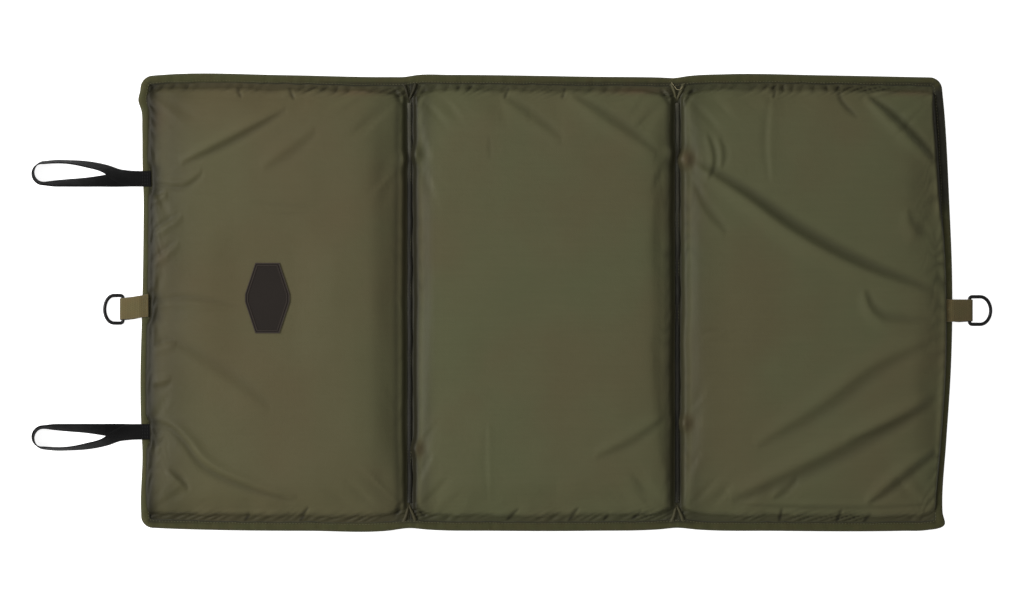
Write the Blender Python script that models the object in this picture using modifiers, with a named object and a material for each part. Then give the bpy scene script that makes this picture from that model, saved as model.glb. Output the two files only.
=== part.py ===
# Unhooking mat. Three foam pads in a coated nylon cover, hinged at two sewn fold
# channels, with a bound edge, a blank badge, two webbing tabs with D-rings and
# two elastic loops that hold the folded bundle shut.
#
# Metres, +Z up. The origin is the middle of the middle panel's underside.
# +X runs to the right panel and +Y to the rear edge.

import math

import bmesh
import bpy
import numpy as np
from mathutils import Matrix, Vector

# Outline
MAT_WIDTH = 0.583
MIDDLE_LENGTH = 0.323
LEFT_LENGTH = 0.3337
RIGHT_LENGTH = 0.3285
RIGHT_EDGE_BOW = 0.0125
FOLD_WIDTH = 0.020
CORNER_RADIUS = 0.014

# Cover and pads
CLEARANCE = 0.0003
SEAM_HEIGHT = 0.0095
COVER_THICKNESS = 0.0006
SIDE_RISE = 0.0117
CROWN_RISE = 0.0028
SIDE_RUN = 0.038
CROWN_RUN = 0.120
SIDE_POWER = 2.2
BELLY_RUN_SHARE = 0.7
FOLD_LAND = 0.002
SIDE_STATION_SHARES = (0.1, 0.25, 0.45, 0.7, 1.0)
CROWN_STATION_SHARES = (0.6, 1.0)
FLAT_CELLS = 4

# Binding tape
BINDING_WIDTH = 0.0117
BINDING_THICKNESS = 0.0008
CORNER_STEPS = 6

# Webbing tabs and D-rings
TAB_WIDTH = 0.028
WEBBING_THICKNESS = 0.0012
TAB_REACH = 0.022
TAB_FLEX_OUT = 0.002
TAB_ROOT_LENGTH = 0.0108
LEFT_TAB_Y = -0.0065
RIGHT_TAB_Y = -0.010
WEBBING_BEVEL = 0.0003
SLOT_TAIL_SHARE = 0.3
SLOT_TAIL_RADIUS_SHARE = 0.15
RING_WIRE_RADIUS = 0.0023
RING_SPAN = 0.0362
RING_CORNER_RADIUS = 0.004
RING_LEG_LENGTH = 0.0077
RING_BOW_DEPTH = 0.012
RING_FLOOR_GAP = 0.0002
RING_BOW_STEPS = 12
RING_CORNER_STEPS = 3

# Elastic closing loops
ELASTIC_WIDTH = 0.020
ELASTIC_THICKNESS = 0.0013
LOOP_REACH = 0.138
LOOP_SPREAD = 0.028
LOOP_FLEX_OUT = 0.0022
LOOP_ROOT_LENGTH = 0.010
LOOP_ROOT_RELIEF = 0.0005
REAR_LOOP_Y = 0.1587
FRONT_LOOP_Y = -0.1652
LOOP_TURN_STEPS = 8
LOOP_TIP_STEPS = 10
# Stations along each leg: reach share, sideways share of the spread, twist share
# of a quarter turn, height share between the root (1) and the standing tip (0).
OUTER_LEG_SHARES = (
    (0.08, 0.02, 0.06, 1.00),
    (0.20, 0.18, 0.36, 0.90),
    (0.33, 0.46, 0.60, 0.55),
    (0.50, 0.64, 0.74, 0.25),
    (0.68, 0.74, 0.86, 0.06),
    (0.84, 0.77, 0.95, 0.00),
)
INNER_LEG_SHARES = (
    (0.08, 0.00, 0.02, 1.00),
    (0.20, -0.04, 0.14, 0.60),
    (0.33, -0.08, 0.36, 0.15),
    (0.50, -0.13, 0.56, 0.02),
    (0.68, -0.19, 0.78, 0.00),
    (0.84, -0.23, 0.93, 0.00),
)

# Badge
BADGE_WIDTH = 0.057
BADGE_HEIGHT = 0.090
BADGE_FLAT_WIDTH = 0.0305
BADGE_SHOULDER_HEIGHT = 0.010
BADGE_THICKNESS = 0.0012
BADGE_FROM_EDGE = 0.1622
BADGE_Y = 0.006
BADGE_RIM_WIDTH = 0.003
BADGE_RIM_DEPTH = 0.0004

# Levels and lines worked out from the sizes above
half_width = MAT_WIDTH / 2
half_cover = COVER_THICKNESS / 2
flange_mid = CLEARANCE / 2 + half_cover
flange_half = CLEARANCE / 2 + COVER_THICKNESS
belly_drop = SEAM_HEIGHT - flange_mid - half_cover
pad_rise = SIDE_RISE + CROWN_RISE
belly_run = SIDE_RUN * BELLY_RUN_SHARE
inner_fold_x = MIDDLE_LENGTH / 2
outer_fold_x = inner_fold_x + FOLD_WIDTH
cover_setback = flange_half + CLEARANCE
flange_width = BINDING_WIDTH + BINDING_THICKNESS
binding_inner = flange_half + CLEARANCE
binding_outer = binding_inner + BINDING_THICKNESS
binding_setback = binding_outer + CLEARANCE
cover_inset = BINDING_THICKNESS + CLEARANCE
crown_top = SEAM_HEIGHT + flange_mid + pad_rise + half_cover
root_base = SEAM_HEIGHT + binding_outer + CLEARANCE
tab_axis_z = root_base + WEBBING_THICKNESS
tab_root_out = TAB_FLEX_OUT - WEBBING_THICKNESS - CLEARANCE
layer_offset = (ELASTIC_THICKNESS + CLEARANCE) / 2
loop_half = layer_offset + ELASTIC_THICKNESS / 2
loop_axis_z = root_base + loop_half
# Short of the flex line, so that the band clears the root's edge as it folds back.
loop_root_out = LOOP_FLEX_OUT - loop_half - CLEARANCE - LOOP_ROOT_RELIEF
loop_tip_z = ELASTIC_WIDTH / 2 + CLEARANCE
wrap_inner = RING_WIRE_RADIUS + CLEARANCE
wrap_outer = wrap_inner + WEBBING_THICKNESS
bar_z = wrap_outer + CLEARANCE

QUARTER_TURN = math.pi / 2

for scene_object in list(bpy.data.objects):
    bpy.data.objects.remove(scene_object, do_unlink=True)

parts = bpy.data.collections.new("unhooking_mat")
guides = bpy.data.collections.new("unhooking_mat_guides")
bpy.context.scene.collection.children.link(parts)
bpy.context.scene.collection.children.link(guides)


# Materials

def linear(channel):
    return channel / 12.92 if channel <= 0.04045 else ((channel + 0.055) / 1.055) ** 2.4


def material(name, red, green, blue, roughness, metallic=0.0):
    made = bpy.data.materials.new(name)
    made.use_nodes = True
    shader = made.node_tree.nodes["Principled BSDF"]
    colour = [linear(channel / 255) for channel in (red, green, blue)]
    shader.inputs["Base Color"].default_value = (*colour, 1.0)
    shader.inputs["Roughness"].default_value = roughness
    shader.inputs["Metallic"].default_value = metallic
    return made


nylon = material("olive_nylon", 90, 86, 62, 0.45)
foam = material("pad_foam", 205, 202, 190, 0.9)
tape = material("olive_binding", 68, 66, 43, 0.7)
webbing = material("khaki_webbing", 104, 94, 64, 0.75)
elastic = material("black_elastic", 23, 23, 23, 0.7)
metal = material("black_metal", 22, 22, 23, 0.35, 1.0)
badge_rubber = material("badge_rubber", 50, 44, 38, 0.55)


# Placing

pivot_places = {}


def pivot(name, place, parent=None):
    """An empty on a joint's axis, carried by the empty of the body before it."""
    empty = bpy.data.objects.new(name, None)
    empty.empty_display_size = FOLD_WIDTH
    parts.objects.link(empty)
    pivot_places[name] = Vector(place)
    empty.location = pivot_places[name]
    if parent:
        empty.parent = parent
        empty.matrix_parent_inverse = Matrix.Translation(-pivot_places[parent.name])
    return empty


def place(thing, finish, parent=None):
    """Link a piece, give it its material and hang it on its body's pivot."""
    parts.objects.link(thing)
    thing.data.materials.append(finish)
    if parent:
        thing.parent = parent
        thing.matrix_parent_inverse = Matrix.Translation(-pivot_places[parent.name])
    return thing


def mesh_object(name, bm):
    bmesh.ops.recalc_face_normals(bm, faces=bm.faces)
    mesh = bpy.data.meshes.new(name)
    bm.to_mesh(mesh)
    bm.free()
    return bpy.data.objects.new(name, mesh)


def outline_object(name, outlines, half_depth):
    """A flat outline, with any holes in it, extruded by half its depth each way."""
    curve = bpy.data.curves.new(name, "CURVE")
    curve.dimensions = "2D"
    curve.fill_mode = "BOTH"
    curve.extrude = half_depth
    for points in outlines:
        spline = curve.splines.new("POLY")
        spline.points.add(len(points) - 1)
        for point, (across, up) in zip(spline.points, points):
            point.co = (across, up, 0.0, 1.0)
        spline.use_cyclic_u = True
    return bpy.data.objects.new(name, curve)


def arc(centre, radius, start, end, steps):
    """Points on an arc in a plane, both ends included."""
    angles = np.linspace(start, end, steps + 1)
    return [(centre[0] + radius * math.cos(a), centre[1] + radius * math.sin(a)) for a in angles]


# Pads. A panel is worked out in its own lengths: along runs outwards from its
# hinge line, and a middle panel has a hinge line at both ends.

class Panel:
    def __init__(self, name, side, start, length, bow):
        self.name = name
        self.side = side
        self.start = start
        self.length = length
        self.bow = bow
        self.far_end_folds = side == 0

    def edge_shift(self, y):
        return self.bow * (1 - (y / half_width) ** 2)

    def world(self, along, y):
        """From the panel's own lengths to the mat's frame, with the bowed edge."""
        along, y = self.round_corner(along, y)
        shifted = along + self.edge_shift(y) * along / self.length
        if self.side == 0:
            return shifted + self.start, y
        return self.side * (self.start + shifted), y

    def round_corner(self, along, y):
        """Bend the square outer corners to the corner radius."""
        if self.far_end_folds:
            return along, y
        radius = CORNER_RADIUS - cover_inset
        u = (along - (self.length - cover_inset - radius)) / radius
        v = (abs(y) - (half_width - cover_inset - radius)) / radius
        if u <= 0 or v <= 0:
            return along, y
        bent_u = u * math.sqrt(1 - v * v / 2)
        bent_v = v * math.sqrt(1 - u * u / 2)
        along += (bent_u - u) * radius
        return along, y + (bent_v - v) * math.copysign(radius, y)

    def lands(self):
        """Where each side of the pad starts to rise: near end, far end, front and rear."""
        near = cover_setback + FOLD_LAND
        if self.far_end_folds:
            return near, self.length - near, half_width - flange_width
        return near, self.length - flange_width, half_width - flange_width

    def depths(self, along, y):
        near, far, across = self.lands()
        return along - near, far - along, across - abs(y)


def rise(depth):
    """Share of the pad's height at a depth in from where its side starts."""
    depth = max(depth, 0.0)
    side = 1 - (1 - min(depth / SIDE_RUN, 1.0)) ** SIDE_POWER
    crown = math.sin(QUARTER_TURN * min(depth / CROWN_RUN, 1.0))
    return (SIDE_RISE * side + CROWN_RISE * crown) / pad_rise


def belly(depth):
    """Share of the underside's drop at a depth in from where its side starts."""
    depth = max(depth, 0.0)
    return 1 - (1 - min(depth / belly_run, 1.0)) ** SIDE_POWER


def top_level(panel, along, y):
    shares = [rise(depth) for depth in panel.depths(along, y)]
    return SEAM_HEIGHT + flange_mid + pad_rise * math.prod(shares)


def bottom_level(panel, along, y):
    shares = [belly(depth) for depth in panel.depths(along, y)]
    return SEAM_HEIGHT - flange_mid - belly_drop * math.prod(shares)


def steepness(level, panel, along, y):
    """How much longer a gap square to the surface is when measured upright."""
    step = CLEARANCE
    slope_along = (level(panel, along + step, y) - level(panel, along - step, y)) / (2 * step)
    slope_y = (level(panel, along, y + step) - level(panel, along, y - step)) / (2 * step)
    return math.sqrt(1 + slope_along ** 2 + slope_y ** 2)


def stations(start_land, end_land, with_crown, flat_cells):
    """Grid lines across a pad, close together where its sides roll off."""
    runs = [SIDE_RUN * share for share in SIDE_STATION_SHARES]
    if with_crown:
        runs += [CROWN_RUN * share for share in CROWN_STATION_SHARES]
    near = [start_land + run for run in runs]
    far = [end_land - run for run in reversed(runs)]
    flat = list(np.linspace(near[-1], far[0], flat_cells + 1))
    return near[:-1] + flat + far[1:]


def panel_lines(panel, with_crown):
    near, far, across = panel.lands()
    along = stations(near, far, with_crown, 1)
    sideways = stations(-across, across, True, FLAT_CELLS)
    return along, sideways


def with_flanges(panel, along, sideways):
    """The pad's grid lines with the flat flanges round it added."""
    near, far, across = panel.lands()
    end = panel.length - (cover_setback if panel.far_end_folds else cover_inset)
    edge = half_width - cover_inset
    return [cover_setback, near] + along + [far, end], [-edge, -across] + sideways + [across, edge]


def draped_grid(panel, along_lines, y_lines, height):
    """A grid laid over the panel, its lines moved to the stations and to a height."""
    bm = bmesh.new()
    bmesh.ops.create_grid(bm, x_segments=len(along_lines) - 1, y_segments=len(y_lines) - 1, size=1)
    for vert in bm.verts:
        column = round((vert.co.x + 1) / 2 * (len(along_lines) - 1))
        row = round((vert.co.y + 1) / 2 * (len(y_lines) - 1))
        along, y = along_lines[column], y_lines[row]
        vert.co = (*panel.world(along, y), height(panel, along, y))
    return bm


def make_cover(panel, name, level, with_crown, parent):
    along, sideways = with_flanges(panel, *panel_lines(panel, with_crown))
    cover = mesh_object(name, draped_grid(panel, along, sideways, level))
    shell = cover.modifiers.new("fabric", "SOLIDIFY")
    shell.thickness = COVER_THICKNESS
    shell.offset = 0.0
    cover.data.shade_smooth()
    return place(cover, nylon, parent)


def foam_top(panel, along, y):
    gap = (half_cover + CLEARANCE) * steepness(top_level, panel, along, y)
    return top_level(panel, along, y) - gap


def foam_bottom(panel, along, y):
    gap = (half_cover + CLEARANCE) * steepness(bottom_level, panel, along, y)
    return bottom_level(panel, along, y) + gap


def make_foam(panel, parent):
    """The cut foam sheet: the pad's top surface, carried down to its underside."""
    along_lines, y_lines = panel_lines(panel, True)
    bm = draped_grid(panel, along_lines, y_lines, foam_top)
    under = draped_grid(panel, along_lines, y_lines, foam_bottom)
    bottoms = [vert.co.copy() for vert in under.verts]
    under.free()
    tops = list(bm.verts)
    copied = bmesh.ops.duplicate(bm, geom=bm.faces[:])["vert_map"]
    for vert, bottom in zip(tops, bottoms):
        copied[vert].co = bottom
    rims = [edge for edge in bm.edges if edge.is_boundary]
    bmesh.ops.bridge_loops(bm, edges=rims)
    return place(mesh_object(panel.name + "_foam", bm), foam, parent)


# Binding tape, a U over the two covers' flanges

def tape_section(reach):
    """The U, open towards the mat: its back at zero and its legs reaching inwards."""
    back = BINDING_THICKNESS
    return [
        (0.0, -binding_outer), (0.0, binding_outer),
        (-reach, binding_outer), (-reach, binding_inner),
        (-back, binding_inner), (-back, -binding_inner),
        (-reach, -binding_inner), (-reach, -binding_outer),
    ]


def straight_binding(name, centre_x, half_length, side, parent):
    """Tape along the rear (side 1) or front (side -1) edge."""
    piece = outline_object(name, [tape_section(BINDING_WIDTH)], half_length)
    facing = Matrix.Rotation(side * QUARTER_TURN, 4, "Z")
    upright = Matrix.Rotation(QUARTER_TURN, 4, "X")
    turned = Matrix.Translation((centre_x, side * half_width, SEAM_HEIGHT)) @ facing @ upright
    piece.matrix_world = turned
    return place(piece, tape, parent)


def binding_path(panel):
    """The outer panel's edge from its front fold round to its rear fold."""
    corner = panel.length - CORNER_RADIUS
    path = [(binding_setback, -half_width)]
    path += arc((corner, CORNER_RADIUS - half_width), CORNER_RADIUS, -QUARTER_TURN, 0, CORNER_STEPS)
    path += [(panel.length, y) for y in panel_lines(panel, True)[1]]
    path += arc((corner, half_width - CORNER_RADIUS), CORNER_RADIUS, 0, QUARTER_TURN, CORNER_STEPS)
    path += [(binding_setback, half_width)]
    return [(along + panel.edge_shift(y) * along / panel.length, y) for along, y in path]


def wrapped_binding(panel, parent):
    """Tape round the three free edges of an outer panel."""
    name = panel.name + "_binding"
    # Run the other way round, so that the swept tape's faces point outwards.
    outline = tape_section(BINDING_WIDTH)[::-1]
    section = outline_object(name + "_section", [outline], 0.0)
    section.data.fill_mode = "NONE"
    section.display_type = "WIRE"
    section.hide_render = True
    guides.objects.link(section)
    curve = bpy.data.curves.new(name, "CURVE")
    curve.dimensions = "2D"
    curve.fill_mode = "NONE"
    curve.bevel_mode = "OBJECT"
    curve.bevel_object = section
    curve.use_fill_caps = True
    path = [(panel.side * (panel.start + along), y) for along, y in binding_path(panel)]
    if panel.side < 0:
        path.reverse()
    spline = curve.splines.new("POLY")
    spline.points.add(len(path) - 1)
    for point, (x, y) in zip(spline.points, path):
        point.co = (x, y, 0.0, 1.0)
    piece = bpy.data.objects.new(name, curve)
    piece.location.z = SEAM_HEIGHT
    return place(piece, tape, parent)


# Fold strip: the two covers sewn together between two pads

def fold_web(name, side, parent):
    inner = side * inner_fold_x
    outer = side * outer_fold_x
    low, high = min(inner, outer), max(inner, outer)
    outline = arc((high, 0.0), flange_half, -QUARTER_TURN, QUARTER_TURN, CORNER_STEPS)
    outline += arc((low, 0.0), flange_half, QUARTER_TURN, 3 * QUARTER_TURN, CORNER_STEPS)
    strip = outline_object(name, [outline], half_width - cover_inset)
    strip.rotation_euler.x = QUARTER_TURN
    strip.location.z = SEAM_HEIGHT
    return place(strip, nylon, parent)


# Sewn roots, webbing tabs and rings

def sewn_root(name, side, edge_x, y, length, width, thickness, out, finish, parent):
    """The strap's sewn end, flat on the binding and a little out past its edge."""
    bm = bmesh.new()
    bmesh.ops.create_cube(bm, size=1.0)
    bmesh.ops.scale(bm, verts=bm.verts, vec=(length + out, width, thickness))
    centre_x = edge_x + side * (out - length) / 2
    bmesh.ops.translate(bm, verts=bm.verts, vec=(centre_x, y, root_base + thickness / 2))
    root = mesh_object(name, bm)
    soften = root.modifiers.new("worn_edges", "BEVEL")
    soften.width = WEBBING_BEVEL
    soften.segments = 2
    return place(root, finish, parent)


def drop_outline(big, big_radius, small, small_radius, steps):
    """The outline of a belt round a big circle and a small one."""
    span = Vector(small) - Vector(big)
    heading = math.atan2(span.y, span.x)
    wrap = math.acos((big_radius - small_radius) / span.length)
    outline = arc(big, big_radius, heading + wrap, heading + 2 * math.pi - wrap, steps)
    outline += arc(small, small_radius, heading - wrap, heading + wrap, steps // 2)
    return outline


def ring_tab(name, side, edge_x, y, parent):
    """Webbing that runs out from the flex line, round the ring's bar and back."""
    axis = (side * (edge_x + side * TAB_FLEX_OUT), tab_axis_z)
    bar = (axis[0] + TAB_REACH, bar_z)
    tail = [a + (b - a) * SLOT_TAIL_SHARE for a, b in zip(axis, bar)]
    tail_radius = WEBBING_THICKNESS * SLOT_TAIL_RADIUS_SHARE
    outer = drop_outline(bar, wrap_outer, axis, WEBBING_THICKNESS, 2 * RING_BOW_STEPS)
    slot = drop_outline(bar, wrap_inner, tail, tail_radius, 2 * RING_BOW_STEPS)
    outlines = [[(side * x, z) for x, z in points] for points in (outer, slot)]
    tab = outline_object(name, outlines, TAB_WIDTH / 2)
    tab.rotation_euler.x = QUARTER_TURN
    tab.location.y = y
    return place(tab, webbing, parent)


def d_ring(name, side, bar_x, y, parent):
    """Bent wire: straight bar, two short legs and a flattened bow."""
    half_span = RING_SPAN / 2
    corner = RING_CORNER_RADIUS
    leg_end = corner + RING_LEG_LENGTH
    bow = np.linspace(QUARTER_TURN, -QUARTER_TURN, RING_BOW_STEPS + 1)
    path = arc((corner, half_span - corner), corner, math.pi, QUARTER_TURN, RING_CORNER_STEPS)
    path += [(leg_end + RING_BOW_DEPTH * math.cos(a), half_span * math.sin(a)) for a in bow]
    path += arc((corner, corner - half_span), corner, -QUARTER_TURN, -math.pi, RING_CORNER_STEPS)
    curve = bpy.data.curves.new(name, "CURVE")
    curve.dimensions = "3D"
    curve.bevel_depth = RING_WIRE_RADIUS
    curve.bevel_resolution = 2
    spline = curve.splines.new("POLY")
    spline.points.add(len(path) - 1)
    for point, (out, across) in zip(spline.points, path):
        point.co = (side * out, across, 0.0, 1.0)
    spline.use_cyclic_u = True
    ring = bpy.data.objects.new(name, curve)
    reach = leg_end + RING_BOW_DEPTH
    tip_drop = bar_z - RING_WIRE_RADIUS - RING_FLOOR_GAP
    ring.rotation_euler.y = side * math.asin(tip_drop / reach)
    ring.location = (bar_x, y, bar_z)
    return place(ring, metal, parent)


# Elastic closing loops

def smooth_rows(rows, count):
    """Rows of shares read at even steps of the first column, on smooth curves."""
    rows = np.array(rows)
    slopes = np.gradient(rows[:, 1:], rows[:, 0], axis=0)
    reach = np.linspace(rows[0, 0], rows[-1, 0], count)
    out = []
    for s in reach:
        i = min(int(np.searchsorted(rows[:, 0], s, side="right")) - 1, len(rows) - 2)
        width = rows[i + 1, 0] - rows[i, 0]
        t = (s - rows[i, 0]) / width
        ease = t * t * (3 - 2 * t)
        bend_in = t * (1 - t) ** 2 * width
        bend_out = -t * t * (1 - t) * width
        value = rows[i, 1:] * (1 - ease) + rows[i + 1, 1:] * ease
        value = value + slopes[i] * bend_in + slopes[i + 1] * bend_out
        out.append((s, *value))
    return out


def loop_sections():
    """Centre and width direction of the strap, all the way round the loop."""
    sections = []
    for angle in np.linspace(QUARTER_TURN, 3 * QUARTER_TURN, LOOP_TURN_STEPS + 1):
        centre = Vector((layer_offset * math.cos(angle), 0.0, layer_offset * math.sin(angle)))
        sections.append((centre, 0.0))
    turn = list(reversed(sections))
    drop = loop_tip_z - loop_axis_z
    legs = []
    for rows, layer in ((OUTER_LEG_SHARES, layer_offset), (INNER_LEG_SHARES, -layer_offset)):
        leg = []
        for reach, aside, twist, height in smooth_rows(rows, LOOP_TIP_STEPS):
            level = layer * height + drop * (1 - height)
            centre = Vector((LOOP_REACH * reach, LOOP_SPREAD * aside, level))
            leg.append((centre, QUARTER_TURN * twist))
        legs.append(leg)
    outer, inner = legs
    far, near = outer[-1][0], inner[-1][0]
    radius = (far.y - near.y) / 2
    middle = Vector((LOOP_REACH - radius, (far.y + near.y) / 2, drop))
    tip = []
    for angle in np.linspace(QUARTER_TURN, -QUARTER_TURN, LOOP_TIP_STEPS + 1):
        bend = Vector((radius * math.cos(angle), radius * math.sin(angle), 0.0))
        tip.append((middle + bend, QUARTER_TURN))
    return turn + outer + tip + list(reversed(inner))


def closing_loop(name, edge_x, y, side_y, parent):
    """A flat band, stacked at its root and standing on edge at its tip."""
    bm = bmesh.new()
    rungs = []
    for centre, twist in loop_sections():
        across = Vector((0.0, -math.cos(twist), math.sin(twist))) * (ELASTIC_WIDTH / 2)
        rungs.append([bm.verts.new(centre - across), bm.verts.new(centre + across)])
    edges = [bm.edges.new(rung) for rung in rungs]
    for first, second in zip(edges, edges[1:] + edges[:1]):
        bmesh.ops.bridge_loops(bm, edges=[first, second])
    bmesh.ops.scale(bm, verts=bm.verts, vec=(-1.0, side_y, 1.0))
    band = mesh_object(name, bm)
    band.location = (edge_x - LOOP_FLEX_OUT, y, loop_axis_z)
    strap = band.modifiers.new("elastic", "SOLIDIFY")
    strap.thickness = ELASTIC_THICKNESS
    strap.offset = 0.0
    strap.use_even_offset = True
    return place(band, elastic, parent)


# Badge: an upright hexagon with a raised rim

def hexagon(inset):
    grow = 1 - 2 * inset / BADGE_WIDTH
    half_flat = BADGE_FLAT_WIDTH * grow / 2
    half_wide = BADGE_WIDTH * grow / 2
    half_high = BADGE_HEIGHT / 2 - inset
    shoulder = BADGE_SHOULDER_HEIGHT / 2 * grow
    return [
        (half_flat, half_high), (-half_flat, half_high), (-half_wide, shoulder),
        (-half_wide, -shoulder), (-half_flat, -half_high), (half_flat, -half_high),
        (half_wide, -shoulder), (half_wide, shoulder),
    ]


def make_badge(panel, parent):
    centre_x = panel.side * (panel.start + panel.length - BADGE_FROM_EDGE)
    bm = bmesh.new()
    face = bm.faces.new([bm.verts.new((x, y, 0.0)) for x, y in hexagon(0.0)])
    walls = bmesh.ops.extrude_face_region(bm, geom=[face])["geom"]
    lifted = [item for item in walls if isinstance(item, bmesh.types.BMVert)]
    bmesh.ops.translate(bm, verts=lifted, vec=(0.0, 0.0, BADGE_THICKNESS))
    lid = [item for item in walls if isinstance(item, bmesh.types.BMFace)]
    bmesh.ops.inset_region(bm, faces=lid, thickness=BADGE_RIM_WIDTH)
    bmesh.ops.inset_region(bm, faces=lid, thickness=BADGE_RIM_DEPTH, depth=-BADGE_RIM_DEPTH)
    badge = mesh_object("badge_patch", bm)
    badge.location = (centre_x, BADGE_Y, crown_top + CLEARANCE)
    return place(badge, badge_rubber, parent)


# Assembly

middle = Panel("middle", 0, -inner_fold_x, MIDDLE_LENGTH, 0.0)
left = Panel("left", -1, outer_fold_x, LEFT_LENGTH, 0.0)
right = Panel("right", 1, outer_fold_x, RIGHT_LENGTH, RIGHT_EDGE_BOW)

make_cover(middle, "middle_top_cover", top_level, True, None)
make_cover(middle, "middle_bottom_cover", bottom_level, False, None)
make_foam(middle, None)
middle_tape_half = inner_fold_x - binding_setback
straight_binding("middle_binding_rear", 0.0, middle_tape_half, 1, None)
straight_binding("middle_binding_front", 0.0, middle_tape_half, -1, None)

panel_pivots = {}
for panel in (left, right):
    inner_pivot = pivot(panel.name + "_inner_fold", (panel.side * inner_fold_x, 0.0, SEAM_HEIGHT))
    outer_place = (panel.side * outer_fold_x, 0.0, SEAM_HEIGHT)
    outer_pivot = pivot(panel.name + "_outer_fold", outer_place, inner_pivot)
    panel_pivots[panel.name] = outer_pivot

    fold_web(panel.name + "_fold_web", panel.side, inner_pivot)
    web_middle = panel.side * (inner_fold_x + outer_fold_x) / 2
    web_tape_half = FOLD_WIDTH / 2 - cover_setback
    for label, side in (("rear", 1), ("front", -1)):
        web_tape = f"{panel.name}_web_binding_{label}"
        straight_binding(web_tape, web_middle, web_tape_half, side, inner_pivot)

    make_cover(panel, panel.name + "_top_cover", top_level, True, outer_pivot)
    make_cover(panel, panel.name + "_bottom_cover", bottom_level, False, outer_pivot)
    make_foam(panel, outer_pivot)
    wrapped_binding(panel, outer_pivot)

make_badge(left, panel_pivots["left"])

for panel, tab_y in ((left, LEFT_TAB_Y), (right, RIGHT_TAB_Y)):
    carrier = panel_pivots[panel.name]
    tab_edge = panel.side * (panel.start + panel.length + panel.edge_shift(tab_y))
    flex_x = tab_edge + panel.side * TAB_FLEX_OUT
    tab_bar_x = flex_x + panel.side * TAB_REACH
    sewn_root(panel.name + "_tab_root", panel.side, tab_edge, tab_y, TAB_ROOT_LENGTH,
              TAB_WIDTH, 2 * WEBBING_THICKNESS, tab_root_out, webbing, carrier)
    tab_pivot = pivot(panel.name + "_tab_flex", (flex_x, tab_y, tab_axis_z), carrier)
    ring_tab(panel.name + "_ring_tab", panel.side, tab_edge, tab_y, tab_pivot)
    ring_pivot = pivot(panel.name + "_ring_swing", (tab_bar_x, tab_y, bar_z), tab_pivot)
    d_ring(panel.name + "_d_ring", panel.side, tab_bar_x, tab_y, ring_pivot)

left_edge_x = left.side * (left.start + left.length)
for label, loop_y, side in (("rear", REAR_LOOP_Y, 1), ("front", FRONT_LOOP_Y, -1)):
    carrier = panel_pivots["left"]
    sewn_root(label + "_loop_root", left.side, left_edge_x, loop_y, LOOP_ROOT_LENGTH,
              ELASTIC_WIDTH, 2 * loop_half, loop_root_out, elastic, carrier)
    loop_place = (left_edge_x - LOOP_FLEX_OUT, loop_y, loop_axis_z)
    loop_pivot = pivot(label + "_loop_flex", loop_place, carrier)
    closing_loop(label + "_closing_loop", left_edge_x, loop_y, side, loop_pivot)

bpy.context.view_layer.update()
for name, spot in pivot_places.items():
    print(name, [round(value, 5) for value in spot])
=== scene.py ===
import math

import bmesh
import bpy
import numpy as np
from mathutils import Matrix, Vector, noise


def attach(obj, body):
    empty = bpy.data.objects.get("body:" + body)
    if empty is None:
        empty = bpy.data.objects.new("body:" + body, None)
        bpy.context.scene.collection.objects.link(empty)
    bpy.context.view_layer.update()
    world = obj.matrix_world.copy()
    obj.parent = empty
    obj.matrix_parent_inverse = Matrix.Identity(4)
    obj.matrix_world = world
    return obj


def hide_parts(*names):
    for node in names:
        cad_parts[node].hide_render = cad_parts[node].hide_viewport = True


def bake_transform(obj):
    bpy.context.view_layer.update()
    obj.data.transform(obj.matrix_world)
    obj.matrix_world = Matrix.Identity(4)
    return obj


# Unhooking mat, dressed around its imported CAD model. Metres, +Z up.

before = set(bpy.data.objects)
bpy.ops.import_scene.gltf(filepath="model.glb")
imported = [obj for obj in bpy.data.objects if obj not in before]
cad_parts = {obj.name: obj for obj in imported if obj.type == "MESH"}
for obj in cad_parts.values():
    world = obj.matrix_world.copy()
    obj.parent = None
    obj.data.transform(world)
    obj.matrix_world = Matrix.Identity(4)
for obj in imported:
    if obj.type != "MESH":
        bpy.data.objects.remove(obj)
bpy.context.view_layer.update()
scene = bpy.context.scene
scene.view_settings.view_transform = "Standard"
print("frame loaded,", len(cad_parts), "nodes")


# Camera, straight above the mat

cameraSettings = {
    "lens": 150.0,
    "sensor": 36.0,
    "viewWidth": 1.3107,     # metres of floor across the picture
    "centre": (-0.0403, 0.0003),
    "aimHeight": 0.015,
}

cameraData = bpy.data.cameras.new("topCamera")
cameraData.lens = cameraSettings["lens"]
cameraData.sensor_width = cameraSettings["sensor"]
camera = bpy.data.objects.new("topCamera", cameraData)
cameraHeight = cameraSettings["viewWidth"] * cameraSettings["lens"] / cameraSettings["sensor"]
camera.location = (*cameraSettings["centre"], cameraHeight + cameraSettings["aimHeight"])
scene.collection.objects.link(camera)
scene.camera = camera


# Shader helpers

def linear(channel):
    channel = channel / 255
    return channel / 12.92 if channel <= 0.04045 else ((channel + 0.055) / 1.055) ** 2.4


def colour(red, green, blue):
    return (linear(red), linear(green), linear(blue), 1.0)


def feed(tree, node, slot, value):
    # Another node's output is linked, and anything else is set as the value.
    if isinstance(value, bpy.types.NodeSocket):
        tree.links.new(value, node.inputs[slot])
    else:
        node.inputs[slot].default_value = value


def addNode(tree, kind, inputs=None, **settings):
    node = tree.nodes.new(kind)
    for key, value in settings.items():
        setattr(node, key, value)
    for slot, value in (inputs or {}).items():
        feed(tree, node, slot, value)
    return node


def mathNode(tree, operation, first, second):
    return addNode(tree, "ShaderNodeMath", {0: first, 1: second}, operation=operation).outputs[0]


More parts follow.
